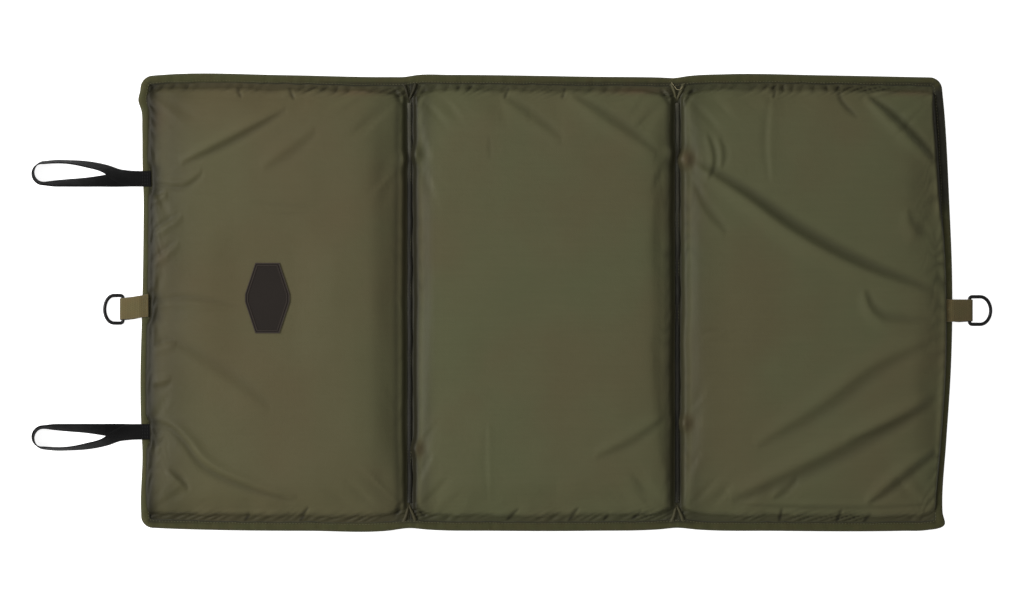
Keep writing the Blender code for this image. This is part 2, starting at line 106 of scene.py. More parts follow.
def mixColours(tree, factor, first, second, blendType="MIX", amount=None):
    # The mask is weakened by amount, if there is one.
    if amount is not None:
        factor = mathNode(tree, "MULTIPLY", factor, amount)
    inputs = {0: factor, 6: first, 7: second}
    return addNode(tree, "ShaderNodeMix", inputs, data_type="RGBA", blend_type=blendType).outputs[2]


def rampNode(tree, factor, stops):
    node = tree.nodes.new("ShaderNodeValToRGB")
    elements = node.color_ramp.elements
    elements[0].position, elements[0].color = stops[0]
    elements[1].position, elements[1].color = stops[-1]
    for place, shade in stops[1:-1]:
        elements.new(place).color = shade
    tree.links.new(factor, node.inputs[0])
    return node.outputs[0]


def newGroup(name, inputs, outputs):
    group = bpy.data.node_groups.new(name, "ShaderNodeTree")
    for label, kind, value in inputs:
        socket = group.interface.new_socket(label, in_out="INPUT", socket_type=kind)
        if value is not None:
            socket.default_value = value
    for label, kind in outputs:
        group.interface.new_socket(label, in_out="OUTPUT", socket_type=kind)
    return group, group.nodes.new("NodeGroupInput"), group.nodes.new("NodeGroupOutput")


# Plain weave: two sets of threads that pass over and under each other.
weaveGroup, groupIn, groupOut = newGroup(
    "plainWeave",
    [("Place", "NodeSocketVector", None), ("Pitch", "NodeSocketFloat", 0.0009)],
    [("Height", "NodeSocketFloat"), ("Gap", "NodeSocketFloat")],
)
split = addNode(weaveGroup, "ShaderNodeSeparateXYZ", {0: groupIn.outputs["Place"]})
turns = mathNode(weaveGroup, "DIVIDE", math.pi, groupIn.outputs["Pitch"])
warp = mathNode(weaveGroup, "SINE", mathNode(weaveGroup, "MULTIPLY", split.outputs[0], turns), 0.0)
weft = mathNode(weaveGroup, "SINE", mathNode(weaveGroup, "MULTIPLY", split.outputs[1], turns), 0.0)
crossing = mathNode(weaveGroup, "MULTIPLY", warp, weft)
warpRib = mathNode(weaveGroup, "ABSOLUTE", warp, 0.0)
weftRib = mathNode(weaveGroup, "ABSOLUTE", weft, 0.0)
overWarp = mathNode(weaveGroup, "MULTIPLY", warpRib, mathNode(weaveGroup, "MULTIPLY_ADD", crossing, 0.5))
feed(weaveGroup, groupOut, "Height",
     mathNode(weaveGroup, "ADD", mathNode(weaveGroup, "MAXIMUM", warpRib, weftRib), overWarp))
feed(weaveGroup, groupOut, "Gap",
     mathNode(weaveGroup, "SUBTRACT", 1.0, mathNode(weaveGroup, "MULTIPLY", warpRib, weftRib)))

# Uneven dye and handling: broad patches, fine streaks along the weft, and dust.
toneGroup, groupIn, groupOut = newGroup(
    "clothTone",
    [
        ("Place", "NodeSocketVector", None),
        ("Base", "NodeSocketColor", (0.1, 0.09, 0.05, 1.0)),
        ("Warm", "NodeSocketColor", (0.12, 0.08, 0.05, 1.0)),
        ("Cool", "NodeSocketColor", (0.08, 0.09, 0.05, 1.0)),
        ("Patch", "NodeSocketFloat", 9.0),
        ("Streak", "NodeSocketFloat", 0.06),
    ],
    [("Colour", "NodeSocketColor"), ("Unevenness", "NodeSocketFloat")],
)
patches = addNode(toneGroup, "ShaderNodeTexNoise", {
    "Vector": groupIn.outputs["Place"], "Scale": groupIn.outputs["Patch"], "Detail": 3.0,
    "Roughness": 0.55})
warmMask = rampNode(toneGroup, patches.outputs["Fac"],
                    [(0.48, (0, 0, 0, 1)), (0.66, (1, 1, 1, 1))])
coolMask = rampNode(toneGroup, patches.outputs["Fac"],
                    [(0.34, (1, 1, 1, 1)), (0.50, (0, 0, 0, 1))])
stretch = addNode(toneGroup, "ShaderNodeMapping",
                  {"Vector": groupIn.outputs["Place"], "Scale": (14.0, 420.0, 60.0)})
streaks = addNode(toneGroup, "ShaderNodeTexNoise",
                  {"Vector": stretch.outputs[0], "Scale": 1.0, "Detail": 2.0})
warmed = mixColours(toneGroup, warmMask, groupIn.outputs["Base"], groupIn.outputs["Warm"], amount=0.32)
cooled = mixColours(toneGroup, coolMask, warmed, groupIn.outputs["Cool"], amount=0.32)
streakSize = mathNode(toneGroup, "MULTIPLY",
                      mathNode(toneGroup, "SUBTRACT", streaks.outputs["Fac"], 0.5),
                      groupIn.outputs["Streak"])
lift = mathNode(toneGroup, "ADD", streakSize, 1.0)
grey = addNode(toneGroup, "ShaderNodeCombineColor", {0: lift, 1: lift, 2: lift})
feed(toneGroup, groupOut, "Colour", mixColours(toneGroup, 1.0, cooled, grey.outputs[0], "MULTIPLY"))
feed(toneGroup, groupOut, "Unevenness", patches.outputs["Fac"])

# Wear: ridges rub paler, and hollows darken, partly dust and partly painted shade.
wearGroup, groupIn, groupOut = newGroup(
    "rubbedEdges",
    [
        ("Colour", "NodeSocketColor", (0.1, 0.1, 0.1, 1.0)),
        ("Rubbed", "NodeSocketColor", (0.2, 0.2, 0.2, 1.0)),
        ("Hollow", "NodeSocketColor", (0.05, 0.05, 0.05, 1.0)),
        ("Amount", "NodeSocketFloat", 0.5),
    ],
    [("Colour", "NodeSocketColor"), ("Ridge", "NodeSocketFloat")],
)
geometry = wearGroup.nodes.new("ShaderNodeNewGeometry")
ridge = rampNode(wearGroup, geometry.outputs["Pointiness"],
                 [(0.52, (0, 0, 0, 1)), (0.60, (1, 1, 1, 1))])
hollow = rampNode(wearGroup, geometry.outputs["Pointiness"],
                  [(0.40, (1, 1, 1, 1)), (0.48, (0, 0, 0, 1))])
wearAmount = groupIn.outputs["Amount"]
rubbed = mixColours(wearGroup, ridge, groupIn.outputs["Colour"], groupIn.outputs["Rubbed"],
                    amount=wearAmount)
feed(wearGroup, groupOut, "Colour",
     mixColours(wearGroup, hollow, rubbed, groupIn.outputs["Hollow"], amount=wearAmount))
feed(wearGroup, groupOut, "Ridge", ridge)


def startMaterial(name, sockets):
    made = bpy.data.materials.new(name)
    made.use_nodes = True
    tree = made.node_tree
    shader = tree.nodes["Principled BSDF"]
    for label, value in sockets.items():
        shader.inputs[label].default_value = value
    return made, tree, shader


def placeGroup(tree, group, inputs):
    return addNode(tree, "ShaderNodeGroup", inputs, node_tree=group)


def bumpFrom(tree, shader, height, distance, strength=1.0, under=None):
    inputs = {"Distance": distance, "Strength": strength, "Height": height}
    if under:
        inputs["Normal"] = under
    bump = addNode(tree, "ShaderNodeBump", inputs)
    feed(tree, shader, "Normal", bump.outputs[0])
    return bump.outputs[0]


def restPlace(tree):
    # Where a point lies on the mat laid out flat, so a fold doesn't move the weave.
    return addNode(tree, "ShaderNodeAttribute", attribute_name="laidOut").outputs["Vector"]


nylonLook = {
    "base": colour(88, 87, 60),
    "warm": colour(91, 78, 54),
    "cool": colour(83, 89, 60),
    "dust": colour(94, 79, 56),
    "leftWarmth": 0.34,
    # hollow: dark colour for hollows and weave gaps, and the colour the painted shade mixes towards
    "hollow": colour(30, 28, 17),
    "rubbed": colour(104, 101, 76),
    "pitch": 0.0011,
    "weaveDepth": 0.00008,
    "creaseDepth": 0.0009,
    "roughness": 0.52, "mottle": 0.16, "sheen": 0.03, "sheenRoughness": 0.4, "gloss": 0.15,
    "patch": 6.0, "streak": 0.09, "wear": 0.22, "gapShade": 0.12, "creaseShade": 0.96,
}


def startCloth(name, look):
    return startMaterial(name, {
        "Roughness": look["roughness"], "Sheen Weight": look["sheen"],
        "Sheen Roughness": look["sheenRoughness"], "Specular IOR Level": look["gloss"],
    })


def wovenParts(tree, look, weavePlace, tonePlace):
    weave = placeGroup(tree, weaveGroup, {"Pitch": look["pitch"], "Place": weavePlace})
    tone = placeGroup(tree, toneGroup, {
        "Base": look["base"], "Warm": look["warm"], "Cool": look["cool"],
        "Patch": look["patch"], "Streak": look["streak"], "Place": tonePlace})
    return weave, tone


def finishCloth(tree, shader, look, weave, tone, toned):
    # Wear, the dark between the threads, and painted shade in creases, beside seams and under rolls, over
    # the toned cloth.
    wear = placeGroup(tree, wearGroup, {
        "Rubbed": look["rubbed"], "Hollow": look["hollow"], "Amount": look["wear"], "Colour": toned})
    woven = mixColours(tree, weave.outputs["Gap"], wear.outputs["Colour"], look["hollow"],
                       amount=look["gapShade"])
    crease = addNode(tree, "ShaderNodeAttribute", attribute_name="crease").outputs["Fac"]
    feed(tree, shader, "Base Color",
         mixColours(tree, crease, woven, look["hollow"], amount=look["creaseShade"]))
    unevenRoughness(tree, shader, tone.outputs["Unevenness"], look["mottle"],
                    look["roughness"] - look["mottle"] / 2)


def unevenRoughness(tree, shader, source, spread, least):
    rough = addNode(tree, "ShaderNodeMath", {0: source, 1: spread, 2: least}, operation="MULTIPLY_ADD")
    feed(tree, shader, "Roughness", rough.outputs[0])


def nylonMaterial():
    made, tree, shader = startCloth("coatedNylon", nylonLook)
    place = restPlace(tree)
    weave, tone = wovenParts(tree, nylonLook, place, place)
    # The panel with the badge is browner than the rest.
    split = addNode(tree, "ShaderNodeSeparateXYZ", {0: place})
    leftward = rampNode(tree, mathNode(tree, "MULTIPLY", split.outputs[0], -1.0),
                        [(0.14, (0, 0, 0, 1)), (0.26, (1, 1, 1, 1))])
    browned = mixColours(tree, leftward, tone.outputs["Colour"], nylonLook["warm"],
                         amount=nylonLook["leftWarmth"])
    stain = addNode(tree, "ShaderNodeAttribute", attribute_name="stain").outputs["Fac"]
    dusted = mixColours(tree, stain, browned, nylonLook["dust"])
    finishCloth(tree, shader, nylonLook, weave, tone, dusted)
    creaseMap = addNode(tree, "ShaderNodeMapping", {"Vector": place, "Scale": (34.0, 62.0, 40.0)})
    creases = addNode(tree, "ShaderNodeTexNoise", {
        "Vector": creaseMap.outputs[0], "Scale": 1.0, "Detail": 4.0, "Roughness": 0.6,
        "Distortion": 0.4})
    soft = bumpFrom(tree, shader, creases.outputs["Fac"], nylonLook["creaseDepth"], 0.6)
    bumpFrom(tree, shader, weave.outputs["Height"], nylonLook["weaveDepth"], 1.0, soft)
    return made


# What all straps and tapes share
strapFinish = {
    "sheenRoughness": 0.5, "patch": 55.0, "streak": 0.35, "wear": 0.5, "gapShade": 0.35,
    "creaseShade": 0.9, "mottle": 0.2,
}


# Straps and tape are woven along their own length, so they read their UV map, in metres.
def strapMaterial(name, ownLook):
    look = {**strapFinish, **ownLook}
    made, tree, shader = startCloth(name, look)
    place = addNode(tree, "ShaderNodeUVMap", uv_map="along").outputs[0]
    spread = addNode(tree, "ShaderNodeMapping",
                     {"Vector": place, "Scale": (1.0, look["lengthwise"], 1.0)})
    weave, tone = wovenParts(tree, look, spread.outputs[0], place)
    finishCloth(tree, shader, look, weave, tone, tone.outputs["Colour"])
    bumpFrom(tree, shader, weave.outputs["Height"], look["depth"])
    return made


bindingLook = {
    "base": colour(67, 66, 30), "warm": colour(72, 64, 34), "cool": colour(61, 66, 30),
    "rubbed": colour(92, 90, 52), "hollow": colour(22, 20, 10), "pitch": 0.0010,
    "lengthwise": 1.0, "roughness": 0.72, "sheen": 0.15, "gloss": 0.25, "depth": 0.00016,
}
webbingLook = {
    "base": colour(98, 86, 50), "warm": colour(104, 85, 52), "cool": colour(90, 86, 48),
    "rubbed": colour(120, 108, 72), "hollow": colour(52, 45, 23), "pitch": 0.0014,
    "lengthwise": 0.6, "roughness": 0.78, "sheen": 0.25, "gloss": 0.25, "depth": 0.0003,
}
elasticLook = {
    "base": colour(15, 15, 15), "warm": colour(18, 17, 16), "cool": colour(12, 13, 14),
    "rubbed": colour(30, 30, 30), "hollow": colour(5, 5, 5), "pitch": 0.0011,
    "lengthwise": 0.5, "roughness": 0.72, "sheen": 0.0, "gloss": 0.12, "depth": 0.00025,
}


def plainMaterial(name, base, rubbed, hollow, roughness, metallic, grain, grainDepth, gloss=0.4):
    made, tree, shader = startMaterial(name, {
        "Metallic": metallic, "Roughness": roughness, "Specular IOR Level": gloss,
    })
    objectPlace = tree.nodes.new("ShaderNodeTexCoord").outputs["Object"]
    speckle = addNode(tree, "ShaderNodeTexNoise", {"Vector": objectPlace, "Scale": grain, "Detail": 5.0})
    mottled = mixColours(tree, speckle.outputs["Fac"], hollow, base)
    wear = placeGroup(tree, wearGroup,
                      {"Rubbed": rubbed, "Hollow": hollow, "Amount": 0.6, "Colour": mottled})
    feed(tree, shader, "Base Color", wear.outputs["Colour"])
    unevenRoughness(tree, shader, speckle.outputs["Fac"], 0.25, roughness - 0.12)
    bumpFrom(tree, shader, speckle.outputs["Fac"], grainDepth)
    return made


stripLook = {
    "base": colour(76, 75, 61), "warm": colour(85, 78, 64), "cool": colour(58, 60, 47),
    "rubbed": colour(90, 88, 75), "hollow": colour(28, 27, 20), "pitch": 0.0009,
    "lengthwise": 1.0, "roughness": 0.6, "sheen": 0.1, "gloss": 0.25, "depth": 0.00010,
}

nylon = nylonMaterial()
channelCloth = strapMaterial("channelStrip", stripLook)
bindingCloth = strapMaterial("bindingTape", bindingLook)
khakiWebbing = strapMaterial("khakiWebbing", webbingLook)
blackElastic = strapMaterial("blackElastic", elasticLook)
badgeRubber = plainMaterial("badgeRubber", colour(46, 39, 34), colour(74, 66, 60),
                            colour(26, 22, 19), 0.55, 0.0, 1400.0, 0.00012, gloss=0.15)
ringMetal = plainMaterial("blackenedMetal", colour(30, 30, 31), colour(96, 95, 92),
                          colour(16, 16, 17), 0.38, 0.85, 900.0, 0.00005)
seamThread = plainMaterial("oliveThread", colour(84, 80, 54), colour(112, 108, 78),
                           colour(46, 43, 27), 0.6, 0.0, 2400.0, 0.00005)
blackThread = plainMaterial("blackThread", colour(20, 20, 20), colour(32, 32, 32),
                            colour(10, 10, 10), 0.7, 0.0, 2400.0, 0.00005)
paleThread = plainMaterial("frayedThread", colour(148, 138, 102), colour(170, 160, 124),
                           colour(104, 94, 62), 0.7, 0.0, 2400.0, 0.00005)
print("materials made")


# The mat's own measures, shared by every piece

mat = {
    "halfWidth": 0.2915,
    "seamHeight": 0.0095,
    "innerFold": 0.1615,
    "outerFold": 0.1815,
    "channelMiddle": 0.1715,
    "leftEdge": -0.5152,
    "rightEdge": 0.5100,
    "rightBow": 0.0125,
    "cornerRadius": 0.014,
    "flangeHalf": 0.00065,
    "wanderRun": 0.055,      # how far in from the edge its wandering is felt
    "sides": (("left", -1), ("right", 1)),
}

# How far the sewn edge wanders outwards from its straight line, by place along it.
edgeWander = {
    "rear": ((-0.512, -0.0012), (-0.478, 0.0013), (-0.330, 0.0002), (-0.196, -0.0022),
             (-0.178, -0.0020), (-0.162, 0.0004), (-0.120, 0.0006), (-0.020, -0.0004),
             (0.060, -0.0018), (0.150, -0.0028), (0.168, -0.0034), (0.186, -0.0008),
             (0.232, 0.0014), (0.360, 0.0000), (0.495, -0.0026), (0.520, -0.0030)),
    "front": ((-0.512, -0.0034), (-0.480, -0.0020), (-0.396, 0.0002), (-0.300, 0.0009),
              (-0.200, 0.0008), (-0.171, -0.0026), (-0.150, -0.0008), (-0.060, 0.0008),
              (0.060, 0.0008), (0.148, -0.0010), (0.171, -0.0030), (0.196, -0.0008),
              (0.300, 0.0009), (0.460, 0.0009), (0.488, 0.0002), (0.512, -0.0050)),
    "left": ((-0.285, 0.0000), (-0.258, 0.0008), (-0.195, -0.0013), (-0.142, 0.0008),
             (-0.101, 0.0013), (-0.022, -0.0005), (0.030, -0.0018), (0.090, -0.0026),
             (0.134, -0.0028), (0.179, -0.0014), (0.222, -0.0010), (0.246, 0.0000), (0.260, 0.0040),
             (0.273, 0.0016), (0.285, 0.0006)),
    "right": ((-0.285, 0.0010), (-0.252, -0.0020), (-0.179, -0.0017), (-0.075, 0.0009),
              (0.029, 0.0014), (0.128, 0.0000), (0.246, 0.0000), (0.285, -0.0006)),
}


def smooth(share):
    share = np.clip(share, 0.0, 1.0)
    return share * share * (3 - 2 * share)


def readCurve(table, place):
    # A smooth curve through the table's points.
    places, values = np.array(table, float).T
    slopes = np.gradient(values, places)
    place = np.clip(place, places[0], places[-1])
    first = np.clip(np.searchsorted(places, place, side="right") - 1, 0, len(places) - 2)
    width = places[first + 1] - places[first]
    t = (place - places[first]) / width
    return (values[first] * (1 + 2 * t) * (1 - t) ** 2 + values[first + 1] * t * t * (3 - 2 * t)
            + width * (slopes[first] * t * (1 - t) ** 2 - slopes[first + 1] * t * t * (1 - t)))


def rightBow(y):
    return mat["rightBow"] * (1 - (y / mat["halfWidth"]) ** 2)


# A corner that is pulled out further: its place, the pull and how far that reaches.
cornerPull = {"at": (0.5085, -0.2895), "by": (0.0066, -0.0022), "reach": 0.0095}


def wander(points):
    # Moves points near the sewn edge with it. The pull dies out within its run.
    run = mat["wanderRun"]
    x, y = points[:, 0].copy(), points[:, 1].copy()
    rear = smooth((y - mat["halfWidth"] + run) / run)
    front = smooth((-y - mat["halfWidth"] + run) / run)
    left = smooth((mat["leftEdge"] + run - x) / run)
    right = smooth((x - mat["rightEdge"] + run) / run)
    moved = points.copy()
    moved[:, 1] += readCurve(edgeWander["rear"], x) * rear
    moved[:, 1] -= readCurve(edgeWander["front"], x) * front
    moved[:, 0] -= readCurve(edgeWander["left"], y) * left
    moved[:, 0] += readCurve(edgeWander["right"], y) * right
    atX, atY = cornerPull["at"]
    near = np.exp(-((x - atX) ** 2 + (y - atY) ** 2) / cornerPull["reach"] ** 2)
    moved[:, 0] += cornerPull["by"][0] * near
    moved[:, 1] += cornerPull["by"][1] * near
    return moved


def getPoints(mesh):
    flat = np.zeros(len(mesh.vertices) * 3)
    mesh.vertices.foreach_get("co", flat)
    return flat.reshape(-1, 3)


def setPoints(mesh, points):
    mesh.vertices.foreach_set("co", np.ascontiguousarray(points).ravel())
    mesh.update()


def finishMesh(name, bm, material, merge=True):
    if merge:
        bmesh.ops.remove_doubles(bm, verts=bm.verts, dist=1e-6)
    bmesh.ops.recalc_face_normals(bm, faces=bm.faces)
    for face in bm.faces:
        face.smooth = True
    mesh = bpy.data.meshes.new(name)
    bm.to_mesh(mesh)
    bm.free()
    mesh.materials.append(material)
    piece = bpy.data.objects.new(name, mesh)
    scene.collection.objects.link(piece)
    return piece


def keepLaidOut(piece):
    laid = piece.data.attributes.new("laidOut", "FLOAT_VECTOR", "POINT")
    laid.data.foreach_set("vector", getPoints(piece.data).ravel())


def keepShares(piece, name, shares):
    # One value from 0 to 1 for each point, read by the materials.
    layer = piece.data.attributes.new(name, "FLOAT", "POINT")
    layer.data.foreach_set("value", shares)


# Pads: a top and an underside sewn together round their rim, blown up as cloth

padForm = {
    "rise": 0.0145, "floorGap": 0.0003, "rimInset": 0.0011,
    "longRim": 0.0125, "strapDent": 0.0046, "strapDentHalf": 0.0120, "strapDentFade": 0.011,
    # How the seam beside a channel sways: size, length and seed of each wave.
    "seamSway": ((0.0007, 0.052, 75), (0.0004, 0.017, 76)),
    # How far the cover's ends stop short of the edge, by place along it.
    "endRim": {
        "left": ((-0.285, 0.0080), (-0.25, 0.0056), (-0.10, 0.0060), (0.06, 0.0052), (0.20, 0.0062),
                 (0.27, 0.0096)),
        "right": ((-0.285, 0.0078), (-0.24, 0.0064), (0.02, 0.0064), (0.08, 0.0074), (0.13, 0.0092),
                  (0.20, 0.0102), (0.25, 0.0102), (0.275, 0.0086)),
    },
    # Share of the full height by depth in from the seam, in metres.
    "channelSide": ((0, 0), (0.0010, 0.008), (0.0022, 0.04), (0.0034, 0.17), (0.0046, 0.37),
                    (0.0058, 0.50), (0.0074, 0.565), (0.011, 0.635), (0.017, 0.72), (0.025, 0.80),
                    (0.038, 0.89), (0.060, 0.955), (0.120, 1.0)),
    "channelLow": ((0, 0), (0.0010, 0.01), (0.0022, 0.07), (0.0034, 0.28), (0.0046, 0.55),
                   (0.0058, 0.70), (0.0074, 0.785), (0.011, 0.845), (0.017, 0.89), (0.025, 0.925),
                   (0.038, 0.955), (0.060, 0.98), (0.120, 1.0)),
    "channelFull": ((0, 0), (0.0010, 0.008), (0.0022, 0.05), (0.0034, 0.22), (0.0046, 0.46),
                    (0.0058, 0.62), (0.0074, 0.71), (0.011, 0.79), (0.017, 0.865), (0.025, 0.915),
                    (0.038, 0.955), (0.060, 0.98), (0.120, 1.0)),
    "endSide": ((0, 0), (0.0006, 0.05), (0.0014, 0.24), (0.0026, 0.44), (0.0042, 0.54),
                (0.0070, 0.60), (0.012, 0.67), (0.020, 0.77), (0.032, 0.88), (0.055, 0.95),
                (0.120, 1.0)),
    "longSide": ((-0.030, 0.07), (-0.0006, 0.07), (0, 0.08), (0.0010, 0.16), (0.0026, 0.42),
                 (0.0042, 0.56), (0.0065, 0.635), (0.011, 0.71), (0.020, 0.81), (0.034, 0.90),
                 (0.060, 0.96), (0.120, 1.0)),
    "band": 0.0056, "bandSway": 0.0016, "bandSwayLength": 0.018,
    "archDepth": 0.0078, "archRun": 0.050, "cornerArch": 0.0030, "cornerArchRun": 0.028,
    "bellyDrop": 0.0086, "bellyRun": 0.024, "bellyPower": 2.6, "bellyRim": 0.0125,
    "clothStep": 0.005, "fineStep": 0.0016, "innerStep": 0.0032, "fineRun": 0.042,
}
blowing = {
    "frames": 20, "heldDepth": 0.0015, "growthRun": 0.024,
    # How far the blown cloth's moves go, and how they fade towards seams and corners.
    "cap": 0.0028, "fadeIn": 0.012, "cornerHold": 0.85, "cornerReach": 0.075, "underShare": 0.6,
    "cloth": {
        "quality": 6, "mass": 0.12, "tension_stiffness": 18, "compression_stiffness": 18,
        "shear_stiffness": 6, "bending_stiffness": 0.15, "use_pressure": True,
        "uniform_pressure_force": 4.0, "vertex_group_mass": "held",
        "vertex_group_shrink": "loose", "shrink_min": 0.0, "shrink_max": -0.028,
    },
}
padLines = {
    "left": {"low": mat["leftEdge"], "high": -mat["channelMiddle"], "seamHigh": -0.1745,
             "straps": (-0.0065, 0.1587, -0.1652)},
    "middle": {"low": -mat["channelMiddle"], "high": mat["channelMiddle"],
               "seamLow": -0.1685, "seamHigh": 0.1685, "straps": ()},
    "right": {"low": mat["channelMiddle"], "high": mat["rightEdge"], "seamLow": 0.1745,
              "straps": ()},
}
badgeSpot = {"centre": (-0.3530, 0.0060), "half": (0.0285, 0.045), "under": 0.02492}


def softNoise(x, y, seed):
    table = np.random.default_rng(seed).uniform(-1, 1, (256, 256))
    x, y = np.broadcast_arrays(np.asarray(x, float), np.asarray(y, float))
    column, row = np.floor(x).astype(int), np.floor(y).astype(int)
    shareX, shareY = smooth(x - column), smooth(y - row)
    near = table[column % 256, row % 256] * (1 - shareX) + table[(column + 1) % 256, row % 256] * shareX
    far = (table[column % 256, (row + 1) % 256] * (1 - shareX)
           + table[(column + 1) % 256, (row + 1) % 256] * shareX)
    return near * (1 - shareY) + far * shareY


def bowedX(x, y):
    # The right panel's far edge bows out, and its whole length follows by share.
    start = mat["outerFold"]
    share = np.clip((x - start) / (mat["rightEdge"] - start), 0.0, None)
    return x + rightBow(y) * share


def endRim(pad, y):
    # The cover's end rolls over the tape, but for a dent at each strap.
    rim = readCurve(padForm["endRim"].get(pad, ((-1, 0), (1, 0))), y)
    for strap in padLines[pad]["straps"]:
        away = (np.abs(y - strap) - padForm["strapDentHalf"]) / padForm["strapDentFade"]
        rim += padForm["strapDent"] * (1 - smooth(away))
    return rim


def seamSway(pad, key, y):
    # How far the seam beside a channel lies back from its straight line.
    row = len(pad) + 2 * len(key) + 0.5
    back = sum(size * softNoise(y / length, row, seed) for size, length, seed in padForm["seamSway"])
    for pinch in pinches:
        if pinch["seam"] == (pad, key):
            back = back - pinch["pull"] * np.exp(-((y - pinch["centre"][1]) / pinch["size"][1]) ** 2)
    return back


def seamDepths(pad, x, y):
    # Depth in from each seam. x is before the right edge's bow.
    lines = padLines[pad]
    rim = endRim(pad, y)
    if "seamLow" in lines:
        low = x - lines["seamLow"] - seamSway(pad, "seamLow", y)
    else:
        low = x - lines["low"] - rim
    if "seamHigh" in lines:
        high = lines["seamHigh"] - seamSway(pad, "seamHigh", y) - x
    else:
        high = lines["high"] - rim - x
    side = mat["halfWidth"] - padForm["longRim"] - np.abs(y)
    # Towards each corner the pad draws back from the long edge.
    arch = np.zeros_like(x)
    for depth, key in ((low, "seamLow"), (high, "seamHigh")):
        run = padForm["archRun"] if key in lines else padForm["cornerArchRun"]
        pull = padForm["archDepth"] if key in lines else padForm["cornerArch"]
        arch += pull * np.clip(1 - depth / run, 0, 1) ** 2
    sway = padForm["bandSway"] * softNoise(x / padForm["bandSwayLength"], np.sign(y) * 3.5, 71)
    return low, high, side, side - arch - padForm["band"] - sway


def roundCorners(x, y):
    radius = mat["cornerRadius"] - padForm["rimInset"]
    edgeY = mat["halfWidth"] - padForm["rimInset"]
    for side, edgeX in ((-1, mat["leftEdge"] + padForm["rimInset"]),
                        (1, mat["rightEdge"] - padForm["rimInset"])):
        u = (side * (x - edgeX) + radius) / radius
        v = (np.abs(y) - edgeY + radius) / radius
        inside = (u > 0) & (v > 0)
        bentU = np.where(inside, u * np.sqrt(np.maximum(1 - v * v / 2, 0)), u)
        bentV = np.where(inside, v * np.sqrt(np.maximum(1 - u * u / 2, 0)), v)
        x = x + side * (bentU - u) * radius
        y = y + np.sign(y) * (bentV - v) * radius
    return x, y


def padSurface(pad, u, v):
    # Where the cover lies before air goes in: flat place, top and underside heights.
    lines = padLines[pad]
    x, y = roundCorners(u, v)
    low, high, side, shoulder = seamDepths(pad, x, y)
    lowKey = "channelLow" if "seamLow" in lines else "endSide"
    highKey = {"left": "channelSide", "middle": "channelFull", "right": "endSide"}[pad]
    top = readCurve(padForm[lowKey], low) * readCurve(padForm[highKey], high)
    top = top * readCurve(padForm["longSide"], shoulder) * smooth(side / 0.002)
    belly = np.ones_like(x)
    bellyLow = low if "seamLow" in lines else x - lines["low"] - padForm["bellyRim"]
    bellyHigh = high if "seamHigh" in lines else lines["high"] - padForm["bellyRim"] - x
    for depth in (bellyLow, bellyHigh, side):
        share = np.clip(depth / padForm["bellyRun"], 0.0, 1.0)
        belly *= 1 - (1 - share) ** padForm["bellyPower"]
    flat = wander(np.stack([(bowedX(x, y) if pad == "right" else x).ravel(), y.ravel(),
                            np.zeros(x.size)], axis=1))
    over = mat["seamHeight"] + mat["flangeHalf"] + top * padForm["rise"]
    under = mat["seamHeight"] - mat["flangeHalf"] - belly * padForm["bellyDrop"]
    return flat[:, 0].reshape(x.shape), flat[:, 1].reshape(x.shape), over, under


def gridLines(pad, rimStep, innerStep, run):
    # Places of the grid's lines: close together near the seams, wider between.
    lines = padLines[pad]
    low = lines["low"] + (0 if "seamLow" in lines else padForm["rimInset"])
    high = lines["high"] - (0 if "seamHigh" in lines else padForm["rimInset"])
    edge = mat["halfWidth"] - padForm["rimInset"]
    xLines = np.linspace(low, high, round((high - low) / rimStep) + 1)
    rows = round(run / rimStep)
    outer = np.linspace(edge - run, edge, rows + 1)
    inner = np.linspace(run - edge, edge - run, round(2 * (edge - run) / innerStep) + 1)
    return xLines, np.concatenate([-outer[::-1], inner[1:-1], outer])


def coverMesh(name, xLines, yLines):
    # Two grids over each other, joined round the rim. Returns each point's column, row and side.
    columns, rows = len(xLines), len(yLines)
    bm = bmesh.new()
    bmesh.ops.create_grid(bm, x_segments=columns - 1, y_segments=rows - 1, size=0.5)
    below = bmesh.ops.duplicate(bm, geom=bm.faces[:])["geom"]
    bmesh.ops.translate(bm, verts=[item for item in below if isinstance(item, bmesh.types.BMVert)],
                        vec=(0, 0, -1))
    bmesh.ops.bridge_loops(bm, edges=[edge for edge in bm.edges if edge.is_boundary])
    piece = finishMesh(name, bm, nylon, merge=False)
    places = getPoints(piece.data)
    column = np.rint((places[:, 0] + 0.5) * (columns - 1)).astype(int)
    row = np.rint((places[:, 1] + 0.5) * (rows - 1)).astype(int)
    return piece, column, row, places[:, 2] > -0.5


